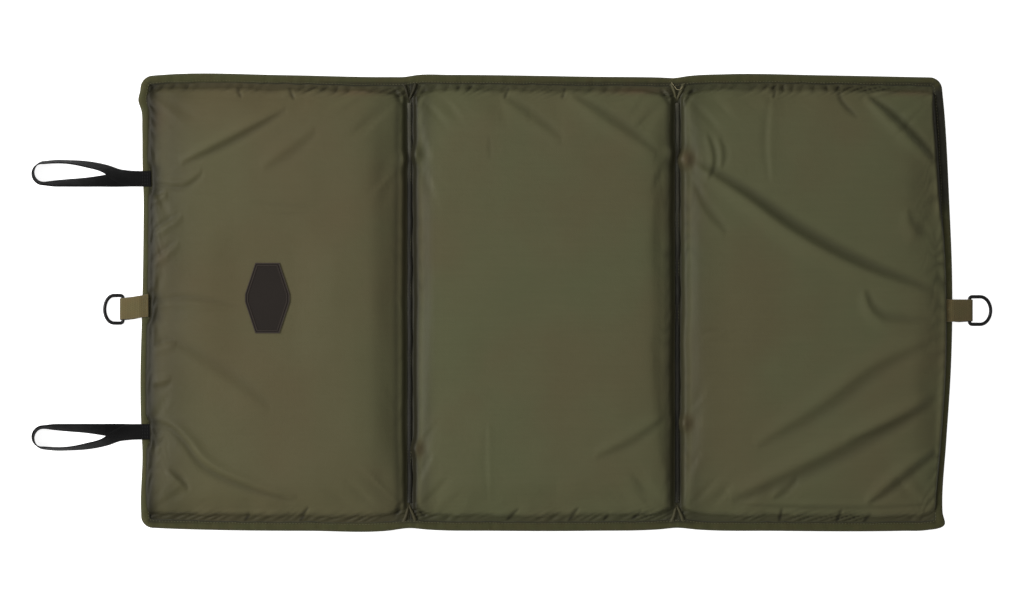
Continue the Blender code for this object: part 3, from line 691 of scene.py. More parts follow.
def blowUp(pad):
    # Cloth with air in it, held at its seams. Returns how far each point of the cover moved.
    xLines, yLines = gridLines(pad, padForm["clothStep"], padForm["clothStep"], padForm["clothStep"])
    u, v = np.meshgrid(xLines, yLines)
    x, y, over, under = padSurface(pad, u, v)
    depth = np.minimum.reduce(seamDepths(pad, *roundCorners(u, v))[:3])
    piece, column, row, upper = coverMesh(pad + "Cloth", xLines, yLines)
    before = np.stack([x[row, column], y[row, column],
                       np.where(upper, over[row, column], under[row, column])], axis=1)
    setPoints(piece.data, before)
    held = piece.vertex_groups.new(name="held")
    loose = piece.vertex_groups.new(name="loose")
    for index, place in enumerate(depth[row, column]):
        held.add([index], 1.0 if place <= blowing["heldDepth"] else 0.0, "REPLACE")
        loose.add([index], float(np.clip(1 - place / blowing["growthRun"], 0, 1)), "REPLACE")
    cloth = piece.modifiers.new("air", "CLOTH")
    for key, value in blowing["cloth"].items():
        setattr(cloth.settings, key, value)
    cloth.settings.effector_weights.gravity = 0.0
    cloth.collision_settings.use_collision = False
    cloth.collision_settings.use_self_collision = False
    for step in range(1, blowing["frames"] + 1):
        scene.frame_set(step)
    solved = piece.evaluated_get(bpy.context.evaluated_depsgraph_get())
    move = getPoints(solved.data) - before
    scene.frame_set(1)
    bpy.data.objects.remove(piece)
    size = np.linalg.norm(move, axis=1, keepdims=True)
    move *= blowing["cap"] * np.tanh(size / blowing["cap"]) / np.maximum(size, 1e-9)
    fields = []
    for face in (upper, ~upper):
        field = np.zeros((*u.shape, 3))
        field[row[face], column[face]] = move[face]
        fields.append(field)
    return xLines, yLines, *fields


def spreadWeights(coarse, fine):
    # Each fine line's share of the four coarse lines around it, as a smooth curve.
    spot = np.interp(fine, coarse, np.arange(len(coarse)))
    first = np.clip(np.floor(spot).astype(int), 0, len(coarse) - 2)
    t = spot - first
    parts = (-0.5 * t + t * t - 0.5 * t ** 3, 1 - 2.5 * t * t + 1.5 * t ** 3,
             0.5 * t + 2 * t * t - 1.5 * t ** 3, -0.5 * t * t + 0.5 * t ** 3)
    weights = np.zeros((len(fine), len(coarse)))
    for offset, part in zip((-1, 0, 1, 2), parts):
        np.add.at(weights, (np.arange(len(fine)), np.clip(first + offset, 0, len(coarse) - 1)), part)
    return weights


# Folds of the cover: a crest, with a hollow beside it. Each row: height, width of the
# crest, the hollow's side (1 to the left as the points run, -1 to the right, 0 for a valley
# with no crest), and the points as x, y, x, y.
padFolds = {
    "left": [
        (0.0025, 0.0052, -1, (-0.464, 0.18, -0.398, 0.214, -0.33, 0.25)),
        (0.001, 0.007, -1, (-0.36, 0.174, -0.292, 0.224)),
        (0.0026, 0.0048, -1, (-0.502, -0.149, -0.478, -0.154, -0.452, -0.176, -0.434, -0.199,
            -0.372, -0.232, -0.316, -0.252)),
        (0.002, 0.004, 1, (-0.482, -0.214, -0.455, -0.24)),
        (0.0016, 0.0036, -1, (-0.496, 0.156, -0.458, 0.154, -0.436, 0.168)),
        (0.0013, 0.0042, 1, (-0.5, -0.004, -0.47, 0.0, -0.39, -0.008)),
        (0.001, 0.009, 1, (-0.48, -0.052, -0.42, -0.092, -0.352, -0.138)),
        (0.0006, 0.0032, -1, (-0.378, 0.134, -0.34, 0.13, -0.286, 0.127)),
        (0.0005, 0.003, -1, (-0.354, 0.12, -0.3, 0.117)),
        (0.0017, 0.004, 1, (-0.5, 0.086, -0.462, 0.11)),
        (0.0014, 0.004, 1, (-0.5, 0.048, -0.466, 0.076)),
        (0.0018, 0.0036, 1, (-0.502, 0.128, -0.482, 0.14)),
        (0.0014, 0.0045, 1, (-0.5, -0.062, -0.47, -0.05)),
        (0.0015, 0.0045, -1, (-0.502, -0.104, -0.476, -0.098)),
        (0.0013, 0.002, 0, (-0.392, 0.276, -0.386, 0.262)),
        (0.0022, 0.0032, 1, (-0.175, 0.25, -0.18, 0.264, -0.19, 0.277)),
        (0.002, 0.0032, -1, (-0.175, -0.252, -0.18, -0.265, -0.189, -0.277)),
        (0.0014, 0.002, 0, (-0.384, -0.28, -0.375, -0.27)),
        (0.0015, 0.0022, 0, (-0.313, -0.281, -0.3, -0.262)),
        (0.0013, 0.002, 0, (-0.326, 0.276, -0.318, 0.26)),
    ],
    "middle": [
        (0.0011, 0.0065, 1, (-0.053, 0.263, -0.018, 0.235, 0.022, 0.206)),
        (0.0017, 0.007, 1, (0.034, 0.266, 0.085, 0.228, 0.146, 0.187)),
        (0.0014, 0.006, 1, (0.157, -0.142, 0.12, -0.166, 0.065, -0.195)),
        (0.0003, 0.003, 0, (-0.069, 0.214, -0.068, 0.182)),
        (0.0003, 0.004, -1, (-0.07, -0.15, -0.068, -0.255)),
        (0.0022, 0.0032, -1, (-0.168, 0.25, -0.163, 0.264, -0.152, 0.277)),
        (0.0024, 0.0034, 1, (0.168, 0.252, 0.162, 0.265, 0.152, 0.277)),
        (0.002, 0.0032, 1, (-0.168, -0.252, -0.163, -0.265, -0.153, -0.277)),
        (0.0013, 0.002, 0, (-0.044, 0.276, -0.05, 0.262)),
        (0.0013, 0.002, 0, (0.028, 0.276, 0.024, 0.262)),
        (0.0015, 0.002, 0, (-0.048, -0.279, -0.031, -0.265)),
        (0.0015, 0.0022, 0, (0.031, -0.28, 0.046, -0.263)),
        (0.0012, 0.0018, 0, (0.076, -0.279, 0.085, -0.27)),
        (0.0013, 0.002, 0, (0.112, -0.279, 0.126, -0.266)),
    ],
    "right": [
        (0.0044, 0.0082, 1, (0.192, 0.176, 0.25, 0.138, 0.322, 0.086, 0.405, 0.042, 0.5, 0.01)),
        (0.0034, 0.0062, 1, (0.412, 0.264, 0.452, 0.226, 0.504, 0.174)),
        (0.0006, 0.005, -1, (0.294, 0.268, 0.29, 0.21, 0.292, 0.154)),
        (0.0012, 0.0034, 0, (0.378, 0.278, 0.38, 0.262, 0.392, 0.246, 0.402, 0.236)),
        (0.0026, 0.0034, -1, (0.1755, 0.25, 0.181, 0.264, 0.191, 0.278)),
        (0.0013, 0.002, 0, (0.298, 0.276, 0.294, 0.262)),
        (0.0011, 0.0034, -1, (0.25, -0.257, 0.33, -0.259, 0.42, -0.259, 0.498, -0.256)),
        (0.0015, 0.0022, 0, (0.3014, -0.281, 0.306, -0.264)),
        (0.0015, 0.0022, 0, (0.374, -0.283, 0.382, -0.265)),
        (0.0013, 0.002, 0, (0.408, -0.282, 0.42, -0.27)),
        (0.003, 0.0095, -1, (0.238, -0.25, 0.33, -0.205, 0.42, -0.16, 0.498, -0.124)),
        (0.002, 0.0095, -1, (0.27, -0.18, 0.352, -0.128, 0.434, -0.07, 0.498, -0.044)),
        (0.0026, 0.0065, -1, (0.412, -0.256, 0.462, -0.214, 0.5, -0.186)),
        (0.0013, 0.0065, -1, (0.384, -0.176, 0.446, -0.146, 0.504, -0.114)),
        (0.0021, 0.0066, 1, (0.408, 0.016, 0.416, -0.008, 0.432, -0.024, 0.462, -0.03, 0.5, -0.028)),
        (0.0008, 0.003, 1, (0.202, -0.043, 0.234, -0.037)),
        (0.0013, 0.005, -1, (0.292, -0.25, 0.322, -0.222)),
        (0.0013, 0.007, -1, (0.502, 0.08, 0.482, 0.084, 0.468, 0.098, 0.464, 0.12)),
        (0.0012, 0.0038, 1, (0.207, 0.216, 0.213, 0.198, 0.215, 0.178, 0.208, 0.158)),
        (0.001, 0.0042, 1, (0.222, 0.212, 0.227, 0.192, 0.226, 0.172)),
        (0.0012, 0.006, 1, (0.188, 0.15, 0.202, 0.118, 0.232, 0.086)),
    ],
}


# A steep drop from the crest to the hollow, and a slow one on the other side, in widths.
foldForm = {
    "endWidth": 0.55, "steep": 0.75, "slow": 1.6, "hollowOff": 1.55, "hollowWidth": 0.95,
    "hollowDepth": 0.7, "darkHollow": 0.004, "darkValley": 0.0012,
}


# Gives the cover's lift, and painted shade in the hollows and valleys of its folds.
def foldLift(folds, x, y):
    lift = np.zeros_like(x)
    trough = np.zeros_like(x)
    for height, widest, hollowSide, places in folds:
        points = np.array(places).reshape(-1, 2)
        if len(points) > 2:
            rough = np.concatenate([[0.0], np.cumsum(np.linalg.norm(np.diff(points, axis=0), axis=1))])
            steps = np.linspace(0, rough[-1], 6 * len(points))
            points = np.stack([readCurve(np.stack([rough, points[:, axis]], axis=1), steps)
                               for axis in (0, 1)], axis=1)
        lengths = np.linalg.norm(np.diff(points, axis=0), axis=1)
        starts = np.concatenate([[0.0], np.cumsum(lengths)])
        nearest = np.full_like(x, 1e9)
        side = np.zeros_like(x)
        along = np.zeros_like(x)
        for index, length in enumerate(lengths):
            ax, ay = points[index]
            dx, dy = (points[index + 1] - points[index]) / length
            t = np.clip((x - ax) * dx + (y - ay) * dy, 0.0, length)
            offX, offY = x - ax - dx * t, y - ay - dy * t
            away = np.hypot(offX, offY)
            closer = away < nearest
            nearest = np.where(closer, away, nearest)
            side = np.where(closer, dx * offY - dy * offX, side)
            along = np.where(closer, starts[index] + t, along)
        ends = np.clip(4 * (along / starts[-1]) * (1 - along / starts[-1]), 0, 1)
        width = widest * (foldForm["endWidth"] + (1 - foldForm["endWidth"]) * ends)
        size = height * np.sqrt(ends)
        if hollowSide:
            signed = np.copysign(nearest, side * hollowSide)
            slope = np.where(signed > 0, foldForm["steep"] * width, foldForm["slow"] * width)
            crest = np.exp(-(signed / slope) ** 2)
            beyond = signed - foldForm["hollowOff"] * width
            hollow = np.exp(-(beyond / (foldForm["hollowWidth"] * width)) ** 2)
            lift += size * (crest - foldForm["hollowDepth"] * hollow)
            trough += np.minimum(size / foldForm["darkHollow"], 1) * hollow
        else:
            valley = np.exp(-(nearest / width) ** 2)
            lift -= size * valley
            trough += np.minimum(size / foldForm["darkValley"], 1) * valley
    return lift, np.clip(trough, 0, 1)


# Small gathers beside the seams, where the cover is taken up into the tape
gathers = {
    "long": {"height": 0.0030, "fade": 0.0030, "spacing": 0.0150, "slant": 2.20, "jumble": 0.62},
    "end": {"height": 0.0020, "fade": 0.0075, "spacing": 0.0210, "slant": 0.60, "jumble": 1.0},
    "channel": {"height": 0.0007, "fade": 0.0060, "spacing": 0.0290, "slant": 0.30, "jumble": 1.0},
}
# Where the cover is pinched across a channel, and how far its seam is pulled over the strip.
pinches = (
    {"seam": ("middle", "seamLow"), "centre": (-0.1640, 0.190), "size": (0.0060, 0.0100),
     "height": 0.0034, "pull": 0.0034},
    {"seam": ("left", "seamHigh"), "centre": (-0.1790, 0.184), "size": (0.0060, 0.0080),
     "height": 0.0012, "pull": 0.0022},
    {"seam": ("middle", "seamLow"), "centre": (-0.1640, -0.186), "size": (0.0070, 0.0090),
     "height": 0.0036, "pull": 0.0028},
    {"seam": ("right", "seamLow"), "centre": (0.1800, 0.183), "size": (0.0085, 0.0100),
     "height": 0.0046, "pull": 0.0056},
    {"seam": ("middle", "seamHigh"), "centre": (0.1640, 0.193), "size": (0.0050, 0.0100),
     "height": 0.0018, "pull": 0.0016},
    {"seam": ("right", "seamLow"), "centre": (0.1790, -0.154), "size": (0.0060, 0.0090),
     "height": 0.0044, "pull": 0.0030},
)
# Browned places: centre, half sizes and strength.
stains = (
    ((0.1820, 0.1840), (0.0110, 0.0120), 0.80),
    ((-0.1600, -0.1870), (0.0070, 0.0110), 0.60),
    ((0.1830, -0.1540), (0.0080, 0.0110), 0.55),
    ((0.1180, 0.2720), (0.0380, 0.0048), 0.80),
    ((-0.2360, 0.2700), (0.0300, 0.0046), 0.60),
    ((0.4700, 0.2690), (0.0320, 0.0042), 0.60),
    ((-0.4960, 0.2350), (0.0100, 0.0180), 0.55),
    ((-0.4900, 0.0600), (0.0120, 0.0160), 0.35),
)


def gatherLift(kind, along, depth, band, seed, lean=1):
    # Rounded tucks with sharp valleys between them, and painted shade in the valleys. band is how wide the
    # gathered strip is.
    style = gathers[kind]
    sway = softNoise(along / 0.060, 0.5, seed)
    place = (along + lean * style["slant"] * depth * (1 + 0.5 * sway)) / style["spacing"]
    phase = place + style["jumble"] * softNoise(place / 2.1, depth / 0.011, seed + 1)
    tuck = np.abs(np.sin(np.pi * phase))
    strength = np.clip(0.55 + 0.75 * softNoise(along / 0.033, 0.5, seed + 2), 0.08, 1.2)
    reach = style["fade"] * (0.4 + 1.5 * (0.5 + 0.5 * softNoise(place / 1.7, 0.5, seed + 3)))
    window = smooth(depth / 0.0022) * np.exp(-np.maximum(depth - band, 0) / reach)
    lift = style["height"] * strength * window * (tuck - 0.55)
    return lift, np.clip(0.95 * window * strength * (1 - tuck), 0, 1)


# Painted shade on the cover beside its seams, by distance in from each.
seamShade = {
    "left": {
        "low": ((0, 0.92), (0.0066, 0.92), (0.0095, 0.80), (0.0120, 0.65), (0.0150, 0.50),
                (0.0180, 0.40), (0.0350, 0.34), (0.0550, 0.14), (0.0800, 0)),
        "high": ((0, 0.15), (0.0070, 0.25), (0.0095, 0.42), (0.0120, 0.50), (0.0145, 0.36),
                 (0.0170, 0.22), (0.0220, 0.14), (0.0350, 0.14), (0.0500, 0.05), (0.0700, 0)),
    },
    "middle": {
        "low": ((0, 0.92), (0.0060, 0.90), (0.0080, 0.40), (0.0104, 0.20), (0.0130, 0.32),
                (0.0170, 0.38), (0.0206, 0.34), (0.0240, 0.21), (0.0300, 0.07), (0.0450, 0)),
        "high": ((0, 0.15), (0.0060, 0.45), (0.0091, 0.48), (0.0117, 0.16), (0.0140, 0.02),
                 (0.0200, 0)),
    },
    "right": {
        "low": ((0, 0.60), (0.0054, 0.50), (0.0079, 0.28), (0.0105, 0.18), (0.0150, 0.32),
                (0.0210, 0.34), (0.0240, 0.29), (0.0280, 0.20), (0.0400, 0.08), (0.0600, 0)),
    },
}


# The cover's other forms: how far in from the seams each one fades, and its size
coverForm = {
    "foldFade": 0.010, "waveFade": 0.009, "waveHeight": 0.00055, "gatherFade": 0.004,
    "endBand": 0.004, "pinchFade": 0.0012, "badgeMargin": 0.001, "badgeFade": 0.060,
    # Broad waves: length across and along the mat, seed and share.
    "waves": ((0.075, 0.075, 11, 1.0), (0.034, 0.040, 12, 0.5)),
}
# Shade at the cover's edges. Rows: how far in it is full, how far it fades, its strength.
edgeShade = {
    "channel": (0.0036, 0.0030, 0.50), "end": (0.0012, 0.0026, 1.0),
    "shoulder": (-0.0006, 0.0030, 0.50),
    # underside: an even painted shade over the whole underside.
    "endGrowth": 1.2, "endFrom": 0.0074, "trough": 0.45, "endGathers": 0.5, "underside": 0.25,
}


def spotShare(x, y, centre, half):
    # 1 at the centre, dying away with distance in half sizes.
    return np.exp(-((x - centre[0]) / half[0]) ** 2 - ((y - centre[1]) / half[1]) ** 2)


def edgeFade(kind, place, wider=0.0):
    full, fade, most = edgeShade[kind]
    return most * (1 - smooth((place - full - wider) / fade))


def gatheredEdges(pad, x, y, low, high, side, shoulder):
    # Gathers along all four edges: how far they lift the cover, and the shade in them.
    lines = padLines[pad]
    band = np.maximum(side - shoulder, 0)
    fade = smooth(np.minimum(low, high) / coverForm["gatherFade"])
    lift, dark = np.zeros_like(x), np.zeros_like(x)
    for kind, along, place, width, seed, lean in (
            ("long", x, np.where(y > 0, side, -1), band, 21, 1),
            ("long", x, np.where(y < 0, side, -1), band, 31, -1),
            ("channel" if "seamLow" in lines else "end", y, low, coverForm["endBand"], 41 + len(pad), 1),
            ("channel" if "seamHigh" in lines else "end", y, high, coverForm["endBand"], 51 + len(pad), 1)):
        raised, valley = gatherLift(kind, along, np.maximum(place, 0), width, seed, lean)
        near = np.where(place > 0, 1.0, 0.0)
        lift += raised * near * fade
        dark = np.maximum(dark, valley * near * (1.0 if kind == "long" else edgeShade["endGathers"]))
    return lift, dark


def shadeShares(pad, y, low, high, shoulder, dark, trough):
    # How much painted shade each point of the cover gets.
    shadeAmount = np.maximum(edgeFade("shoulder", shoulder), dark)
    for key, place in (("seamLow", low), ("seamHigh", high)):
        if key in padLines[pad]:
            strip = edgeFade("channel", place)
        else:
            rolled = np.maximum(endRim(pad, y) - edgeShade["endFrom"], 0)
            strip = edgeFade("end", place, edgeShade["endGrowth"] * rolled)
        shadeAmount = np.maximum(shadeAmount, strip)
    shadeAmount = np.clip(shadeAmount + edgeShade["trough"] * trough, 0, 1)
    for key, place in (("low", low), ("high", high)):
        if key in seamShade[pad]:
            shadeAmount = 1 - (1 - shadeAmount) * (1 - np.clip(readCurve(seamShade[pad][key], place), 0, 1))
    return shadeAmount


def pressUnderBadge(top):
    # Lowers the cover to the badge's underside, and eases back out round it.
    off = [np.abs(top[..., axis] - badgeSpot["centre"][axis]) - badgeSpot["half"][axis] for axis in (0, 1)]
    away = np.hypot(np.maximum(off[0], 0), np.maximum(off[1], 0))
    press = np.maximum(top[..., 2] - badgeSpot["under"], 0)
    top[..., 2] -= press * (1 - smooth((away - coverForm["badgeMargin"]) / coverForm["badgeFade"]))


def dressPad(pad):
    # The blown cover on a fine grid, with its folds, gathers and pinches.
    coarseX, coarseY, overMove, underMove = blowUp(pad)
    xLines, yLines = gridLines(pad, padForm["fineStep"], padForm["innerStep"], padForm["fineRun"])
    u, v = np.meshgrid(xLines, yLines)
    x, y, over, under = padSurface(pad, u, v)
    flatX, flatY = roundCorners(u, v)
    low, high, side, shoulder = seamDepths(pad, flatX, flatY)
    ends = np.minimum(low, high)
    edge = np.minimum(ends, side)
    toX, toY = spreadWeights(coarseX, xLines), spreadWeights(coarseY, yLines)
    ease = smooth(edge / blowing["fadeIn"])
    ease *= 1 - blowing["cornerHold"] * np.exp(-(ends ** 2 + side ** 2) / blowing["cornerReach"] ** 2)
    moves = [np.einsum("ij,jkc,lk->ilc", toY, move, toX) * ease[..., None]
             for move in (overMove, underMove)]
    folded, trough = foldLift(padFolds[pad], x, y)
    lift = folded * smooth(edge / coverForm["foldFade"])
    inside = smooth(np.minimum(ends, np.maximum(shoulder, 0)) / coverForm["waveFade"])
    lift += inside * coverForm["waveHeight"] * sum(
        share * softNoise(x / across, y / along, seed) for across, along, seed, share in coverForm["waves"])
    gathered, dark = gatheredEdges(pad, x, y, low, high, side, shoulder)
    lift += gathered
    for pinch in pinches:
        lift += pinch["height"] * spotShare(x, y, pinch["centre"], pinch["size"]) * smooth(
            ends / coverForm["pinchFade"])
    top = np.stack([x, y, over + lift], axis=-1) + moves[0]
    bottom = np.stack([x, y, under], axis=-1) + blowing["underShare"] * moves[1]
    bottom[..., 2] = np.maximum(bottom[..., 2], padForm["floorGap"])
    if pad == "left":
        pressUnderBadge(top)
    piece, column, row, upper = coverMesh(pad + "Pad", xLines, yLines)
    setPoints(piece.data, np.where(upper[:, None], top[row, column], bottom[row, column]))
    shadeAmount = shadeShares(pad, flatY, low, high, shoulder, dark, trough)
    keepShares(piece, "crease", np.where(upper, shadeAmount[row, column], edgeShade["underside"]))
    browned = np.maximum.reduce([amount * spotShare(x, y, centre, half) for centre, half, amount in stains])
    keepShares(piece, "stain", np.where(upper, browned[row, column], 0.0))
    keepLaidOut(piece)
    print(pad, "pad dressed:", len(piece.data.polygons), "faces")
    return piece


def cutAcrossFolds(piece, name, material):
    # The middle's cloth in three: the part between the folds, and each fold's inner half.
    fold = mat["innerFold"]
    cuts = {"": ((-fold, 1), (fold, -1)), "Left": ((-fold, -1),), "Right": ((fold, 1),)}
    parts = []
    for label, planes in cuts.items():
        bm = bmesh.new()
        bm.from_mesh(piece.data)
        for place, keep in planes:
            bmesh.ops.bisect_plane(bm, geom=bm.verts[:] + bm.edges[:] + bm.faces[:], dist=1e-7,
                                   plane_co=(place, 0, 0), plane_no=(-keep, 0, 0), clear_outer=True)
            rim = [edge for edge in bm.edges if edge.is_boundary]
            bmesh.ops.holes_fill(bm, edges=rim, sides=0)
            for edge in rim:
                edge.smooth = False
        mesh = bpy.data.meshes.new(name + label)
        bm.to_mesh(mesh)
        bm.free()
        mesh.materials.append(material)
        part = bpy.data.objects.new(name + label, mesh)
        scene.collection.objects.link(part)
        parts.append(part)
    bpy.data.objects.remove(piece)
    return parts


def bendOver(piece, inner):
    # Bakes the piece's placement into its mesh, and nothing more; inner, the edge next to the middle panel,
    # makes no difference.
    if inner:
        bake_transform(piece)
    else:
        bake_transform(piece)


padPieces = {pad: dressPad(pad) for pad in padLines}
middlePad, leftFoldCloth, rightFoldCloth = cutAcrossFolds(padPieces["middle"], "middlePad", nylon)
for piece, name in ((middlePad, "middlePad"), (leftFoldCloth, "leftFoldCloth"),
                    (rightFoldCloth, "rightFoldCloth")):
    piece.name = name
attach(middlePad, "middle")
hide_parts("middle_top_cover", "middle_bottom_cover", "middle_foam")
for piece, side, label in ((leftFoldCloth, -1, "left"), (rightFoldCloth, 1, "right")):
    bendOver(piece, inner=True)
    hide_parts(label + "_fold_web")
    pad = padPieces[label]
    bendOver(pad, inner=False)
    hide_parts(label + "_top_cover", label + "_bottom_cover", label + "_foam", label + "_fold_web")
print("pads in place")


# Swept pieces: one closed outline carried along a path

def sweep(name, rings, spans, material):
    across, along = len(rings[0]), len(rings) - 1
    bm = bmesh.new()
    uvLayer = bm.loops.layers.uv.new("along")
    bmesh.ops.create_grid(bm, x_segments=across, y_segments=along, size=0.5)
    rowOf, columnOf = {}, {}
    for vert in bm.verts:
        columnOf[vert] = round((vert.co.x + 0.5) * across)
        rowOf[vert] = round((vert.co.y + 0.5) * along)
    first = rings[0]
    around = [0.0]
    for index in range(across):
        around.append(around[-1] + (Vector(first[(index + 1) % across]) - Vector(first[index])).length)
    for face in bm.faces:
        for loop in face.loops:
            loop[uvLayer].uv = (around[columnOf[loop.vert]], spans[rowOf[loop.vert]])
    for vert in bm.verts:
        vert.co = rings[rowOf[vert]][columnOf[vert] % across]
    bmesh.ops.remove_doubles(bm, verts=bm.verts, dist=1e-6)
    rim = [edge for edge in bm.edges if edge.is_boundary]
    bmesh.ops.holes_fill(bm, edges=rim, sides=0)
    for edge in rim:
        edge.smooth = False
    return finishMesh(name, bm, material, merge=False)


def pathSpans(path):
    spans = [0.0]
    for before, after in zip(path, path[1:]):
        spans.append(spans[-1] + (Vector(after) - Vector(before)).length)
    return spans


def evenly(path, step):
    # The same path with points at an even step.
    spans = np.array(pathSpans(path))
    count = max(2, round(spans[-1] / step))
    wanted = np.linspace(0, spans[-1], count + 1)
    points = np.array([tuple(point) for point in path])
    return [Vector([np.interp(s, spans, column) for column in points.T]) for s in wanted]


def headingAt(path, index):
    before, after = path[max(index - 1, 0)], path[min(index + 1, len(path) - 1)]
    return (after - before).normalized()


# Binding tape

tape = {
    "step": 0.0022, "outer": 0.00185, "inner": 0.00105, "back": 0.0009, "reach": 0.0118,
    "ripple": 0.00055, "rippleLength": 0.010, "slowLength": 0.045, "bulge": 0.0011,
    "edgeSway": 0.0010, "swayLength": 0.013, "seamIn": 0.0021, "seamShare": 0.82,
    # Shade by distance in from the edge: where it starts, how far it grows, its strength.
    "coverShade": (0.0072, 0.0042, 0.75), "recessShade": (0.0004, 0.0014, 1.05),
    # The rear right corner lies in a recess: where that starts and how far it grows.
    "recessX": (0.40, 0.05), "recessY": (0.10, 0.04), "recessEnd": (0.283, -0.016),
}


def tapeOutline(reach, puff):
    outer, inner = tape["outer"], tape["inner"]
    upper = [(-reach, outer * 0.86), (-reach + 0.0006, outer)]
    upper += [(-reach * share, outer + puff * math.sin(math.pi * share)) for share in (0.7, 0.45, 0.25)]
    nose = [(-outer + outer * math.cos(a), outer * math.sin(a)) for a in np.linspace(1.35, -1.35, 7)]
    lower = [(u, -v) for u, v in reversed(upper)]
    hollow = [(-reach, -inner), (-tape["back"] - inner, -inner), (-tape["back"], 0.0),
              (-tape["back"] - inner, inner), (-reach, inner)]
    return upper + nose + lower + hollow


def tapeRipple(x, y, seed):
    length = tape["rippleLength"]
    wave = noise.noise(Vector((x / length, y / length, seed)))
    slow = noise.noise(Vector((x / tape["slowLength"], y / tape["slowLength"], seed)))
    return tape["ripple"] * wave + 0.5 * tape["ripple"] * slow


def tapePath(corners):
    # Straight runs with rounded corners. Each corner is (x, y, radius).
    path = []
    for index, (x, y, radius) in enumerate(corners):
        if radius == 0:
            path.append((x, y))
            continue
        here = Vector((x, y))
        towards = (Vector(corners[index - 1][:2]) - here).normalized()
        onward = (Vector(corners[index + 1][:2]) - here).normalized()
        centre = here + (towards + onward) * radius
        for share in np.linspace(0, 1, 9):
            angle = share * math.pi / 2
            out = onward * radius * math.cos(angle) + towards * radius * math.sin(angle)
            path.append(tuple(centre - out))
    return path


def bindingTape(name, corners, outward, bowed=False):
    path = evenly(tapePath(corners), tape["step"])
    rings, seams = [], []
    for index, here in enumerate(path):
        heading = headingAt(path, index)
        normal = Vector((heading.y, -heading.x)) * outward
        ripple = tapeRipple(here.x, here.y, 4.0)
        sway = noise.noise(Vector((here.x / tape["swayLength"], here.y / tape["swayLength"], 8.0)))
        reach = tape["reach"] + tape["edgeSway"] * sway
        outline = tapeOutline(reach, tape["bulge"] + ripple)
        lift = 0.5 * ripple
        points = np.array([(here.x + normal.x * u, here.y + normal.y * u, mat["seamHeight"] + v + lift)
                           for u, v in outline])
        seamU = -reach + tape["seamIn"]
        seamTop = tape["outer"] + (tape["bulge"] + ripple) * math.sin(math.pi * tape["seamShare"])
        seams.append([(here.x + normal.x * seamU, here.y + normal.y * seamU, mat["seamHeight"] + lift + v)
                      for v in (seamTop, -seamTop)])
        rings.append(points)
    flat = wanderRings(rings, bowed)
    seams = wanderRings([np.array(pair) for pair in seams], bowed)
    piece = sweep(name, flat, pathSpans([ring[0] for ring in flat]), bindingCloth)
    x, y = getPoints(piece.data)[:, :2].T
    endEdge = np.minimum(x - mat["leftEdge"], mat["rightEdge"] + rightBow(y) - x)
    inward = np.minimum(mat["halfWidth"] - np.abs(y), endEdge)
    start, run, most = tape["coverShade"]
    shade = most * smooth((inward - start) / run)
    recess = math.prod(smooth((place - start) / run) for place, (start, run) in (
        (x, tape["recessX"]), (y, tape["recessY"]), (y, tape["recessEnd"])))
    start, run, most = tape["recessShade"]
    shade = np.maximum(shade, most * recess * smooth((inward - start) / run))
    keepShares(piece, "crease", np.clip(shade, 0, 1))
    keepLaidOut(piece)
    return piece, [[Vector(pair[side]) for pair in seams] for side in (0, 1)]


def wanderRings(rings, bowed):
    count = len(rings[0])
    points = np.concatenate(rings)
    if bowed:
        points[:, 0] = bowedX(points[:, 0], points[:, 1])
    moved = wander(points)
    return [[Vector(point) for point in moved[i * count:(i + 1) * count]] for i in range(len(rings))]


# Stitches: short beads of thread laid end to end with small gaps

stitch = {"length": 0.0027, "gap": 0.0012, "radius": 0.00032, "sink": 0.35}


def threadBead(style):
    bm = bmesh.new()
    shape = Matrix.Diagonal((style["radius"], style["radius"], style["length"] / 2, 1.0))
    bmesh.ops.create_uvsphere(bm, u_segments=6, v_segments=4, radius=1.0, matrix=shape)
    bead = bpy.data.meshes.new("bead")
    bm.to_mesh(bead)
    bm.free()
    return bead


def stitchRun(name, runs, material, style=stitch):
    bead = threadBead(style)
    bm = bmesh.new()
    for path, up in runs:
        spots = evenly(path, style["length"] + style["gap"])
        for before, after in zip(spots, spots[1:]):
            middle = (before + after) / 2 + Vector(up) * style["radius"] * style["sink"]
            turn = (after - before).to_track_quat("Z", "Y").to_matrix().to_4x4()
            placed = bead.copy()
            placed.transform(Matrix.Translation(middle) @ turn)
            bm.from_mesh(placed)
            bpy.data.meshes.remove(placed)
    bpy.data.meshes.remove(bead)
    return finishMesh(name, bm, material, merge=False)


edgeY = mat["halfWidth"]
channel = mat["channelMiddle"]
corner = mat["cornerRadius"]
lap = 0.0004     # how far the tapes' ends overlap at the middle of each channel
for label, side in mat["sides"]:
    start, far = side * (channel - lap), mat[label + "Edge"]
    run = [(start, -edgeY, 0), (far, -edgeY, corner), (far, edgeY, corner), (start, edgeY, 0)]
    piece, seams = bindingTape(label + "BindingTape", run, outward=side, bowed=side > 0)
    threads = stitchRun(label + "BindingStitches",
                        [(seams[0], (0, 0, 1)), (seams[1], (0, 0, -1))], seamThread)
    for item in (piece, threads):
        bendOver(item, inner=False)
    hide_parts(label + "_binding", label + "_web_binding_rear", label + "_web_binding_front")

for label, side in (("rear", 1), ("front", -1)):
    run = [(-channel - lap, side * edgeY, 0), (channel + lap, side * edgeY, 0)]
    piece, seams = bindingTape("middle" + label.title() + "Tape", run, outward=-side)
    threads = stitchRun("middle" + label.title() + "Stitches",
                        [(seams[0], (0, 0, 1)), (seams[1], (0, 0, -1))], seamThread)
    for item, finish in ((piece, bindingCloth), (threads, seamThread)):
        name = item.name
        item.name = name + "Whole"
        centre, leftHalf, rightHalf = cutAcrossFolds(item, name, finish)
        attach(centre, "middle")
        bendOver(leftHalf, inner=True)
        bendOver(rightHalf, inner=True)
        if finish is bindingCloth:
            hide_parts("middle_binding_" + label)
            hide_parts("left_web_binding_" + label)
            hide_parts("right_web_binding_" + label)
print("binding sewn on")

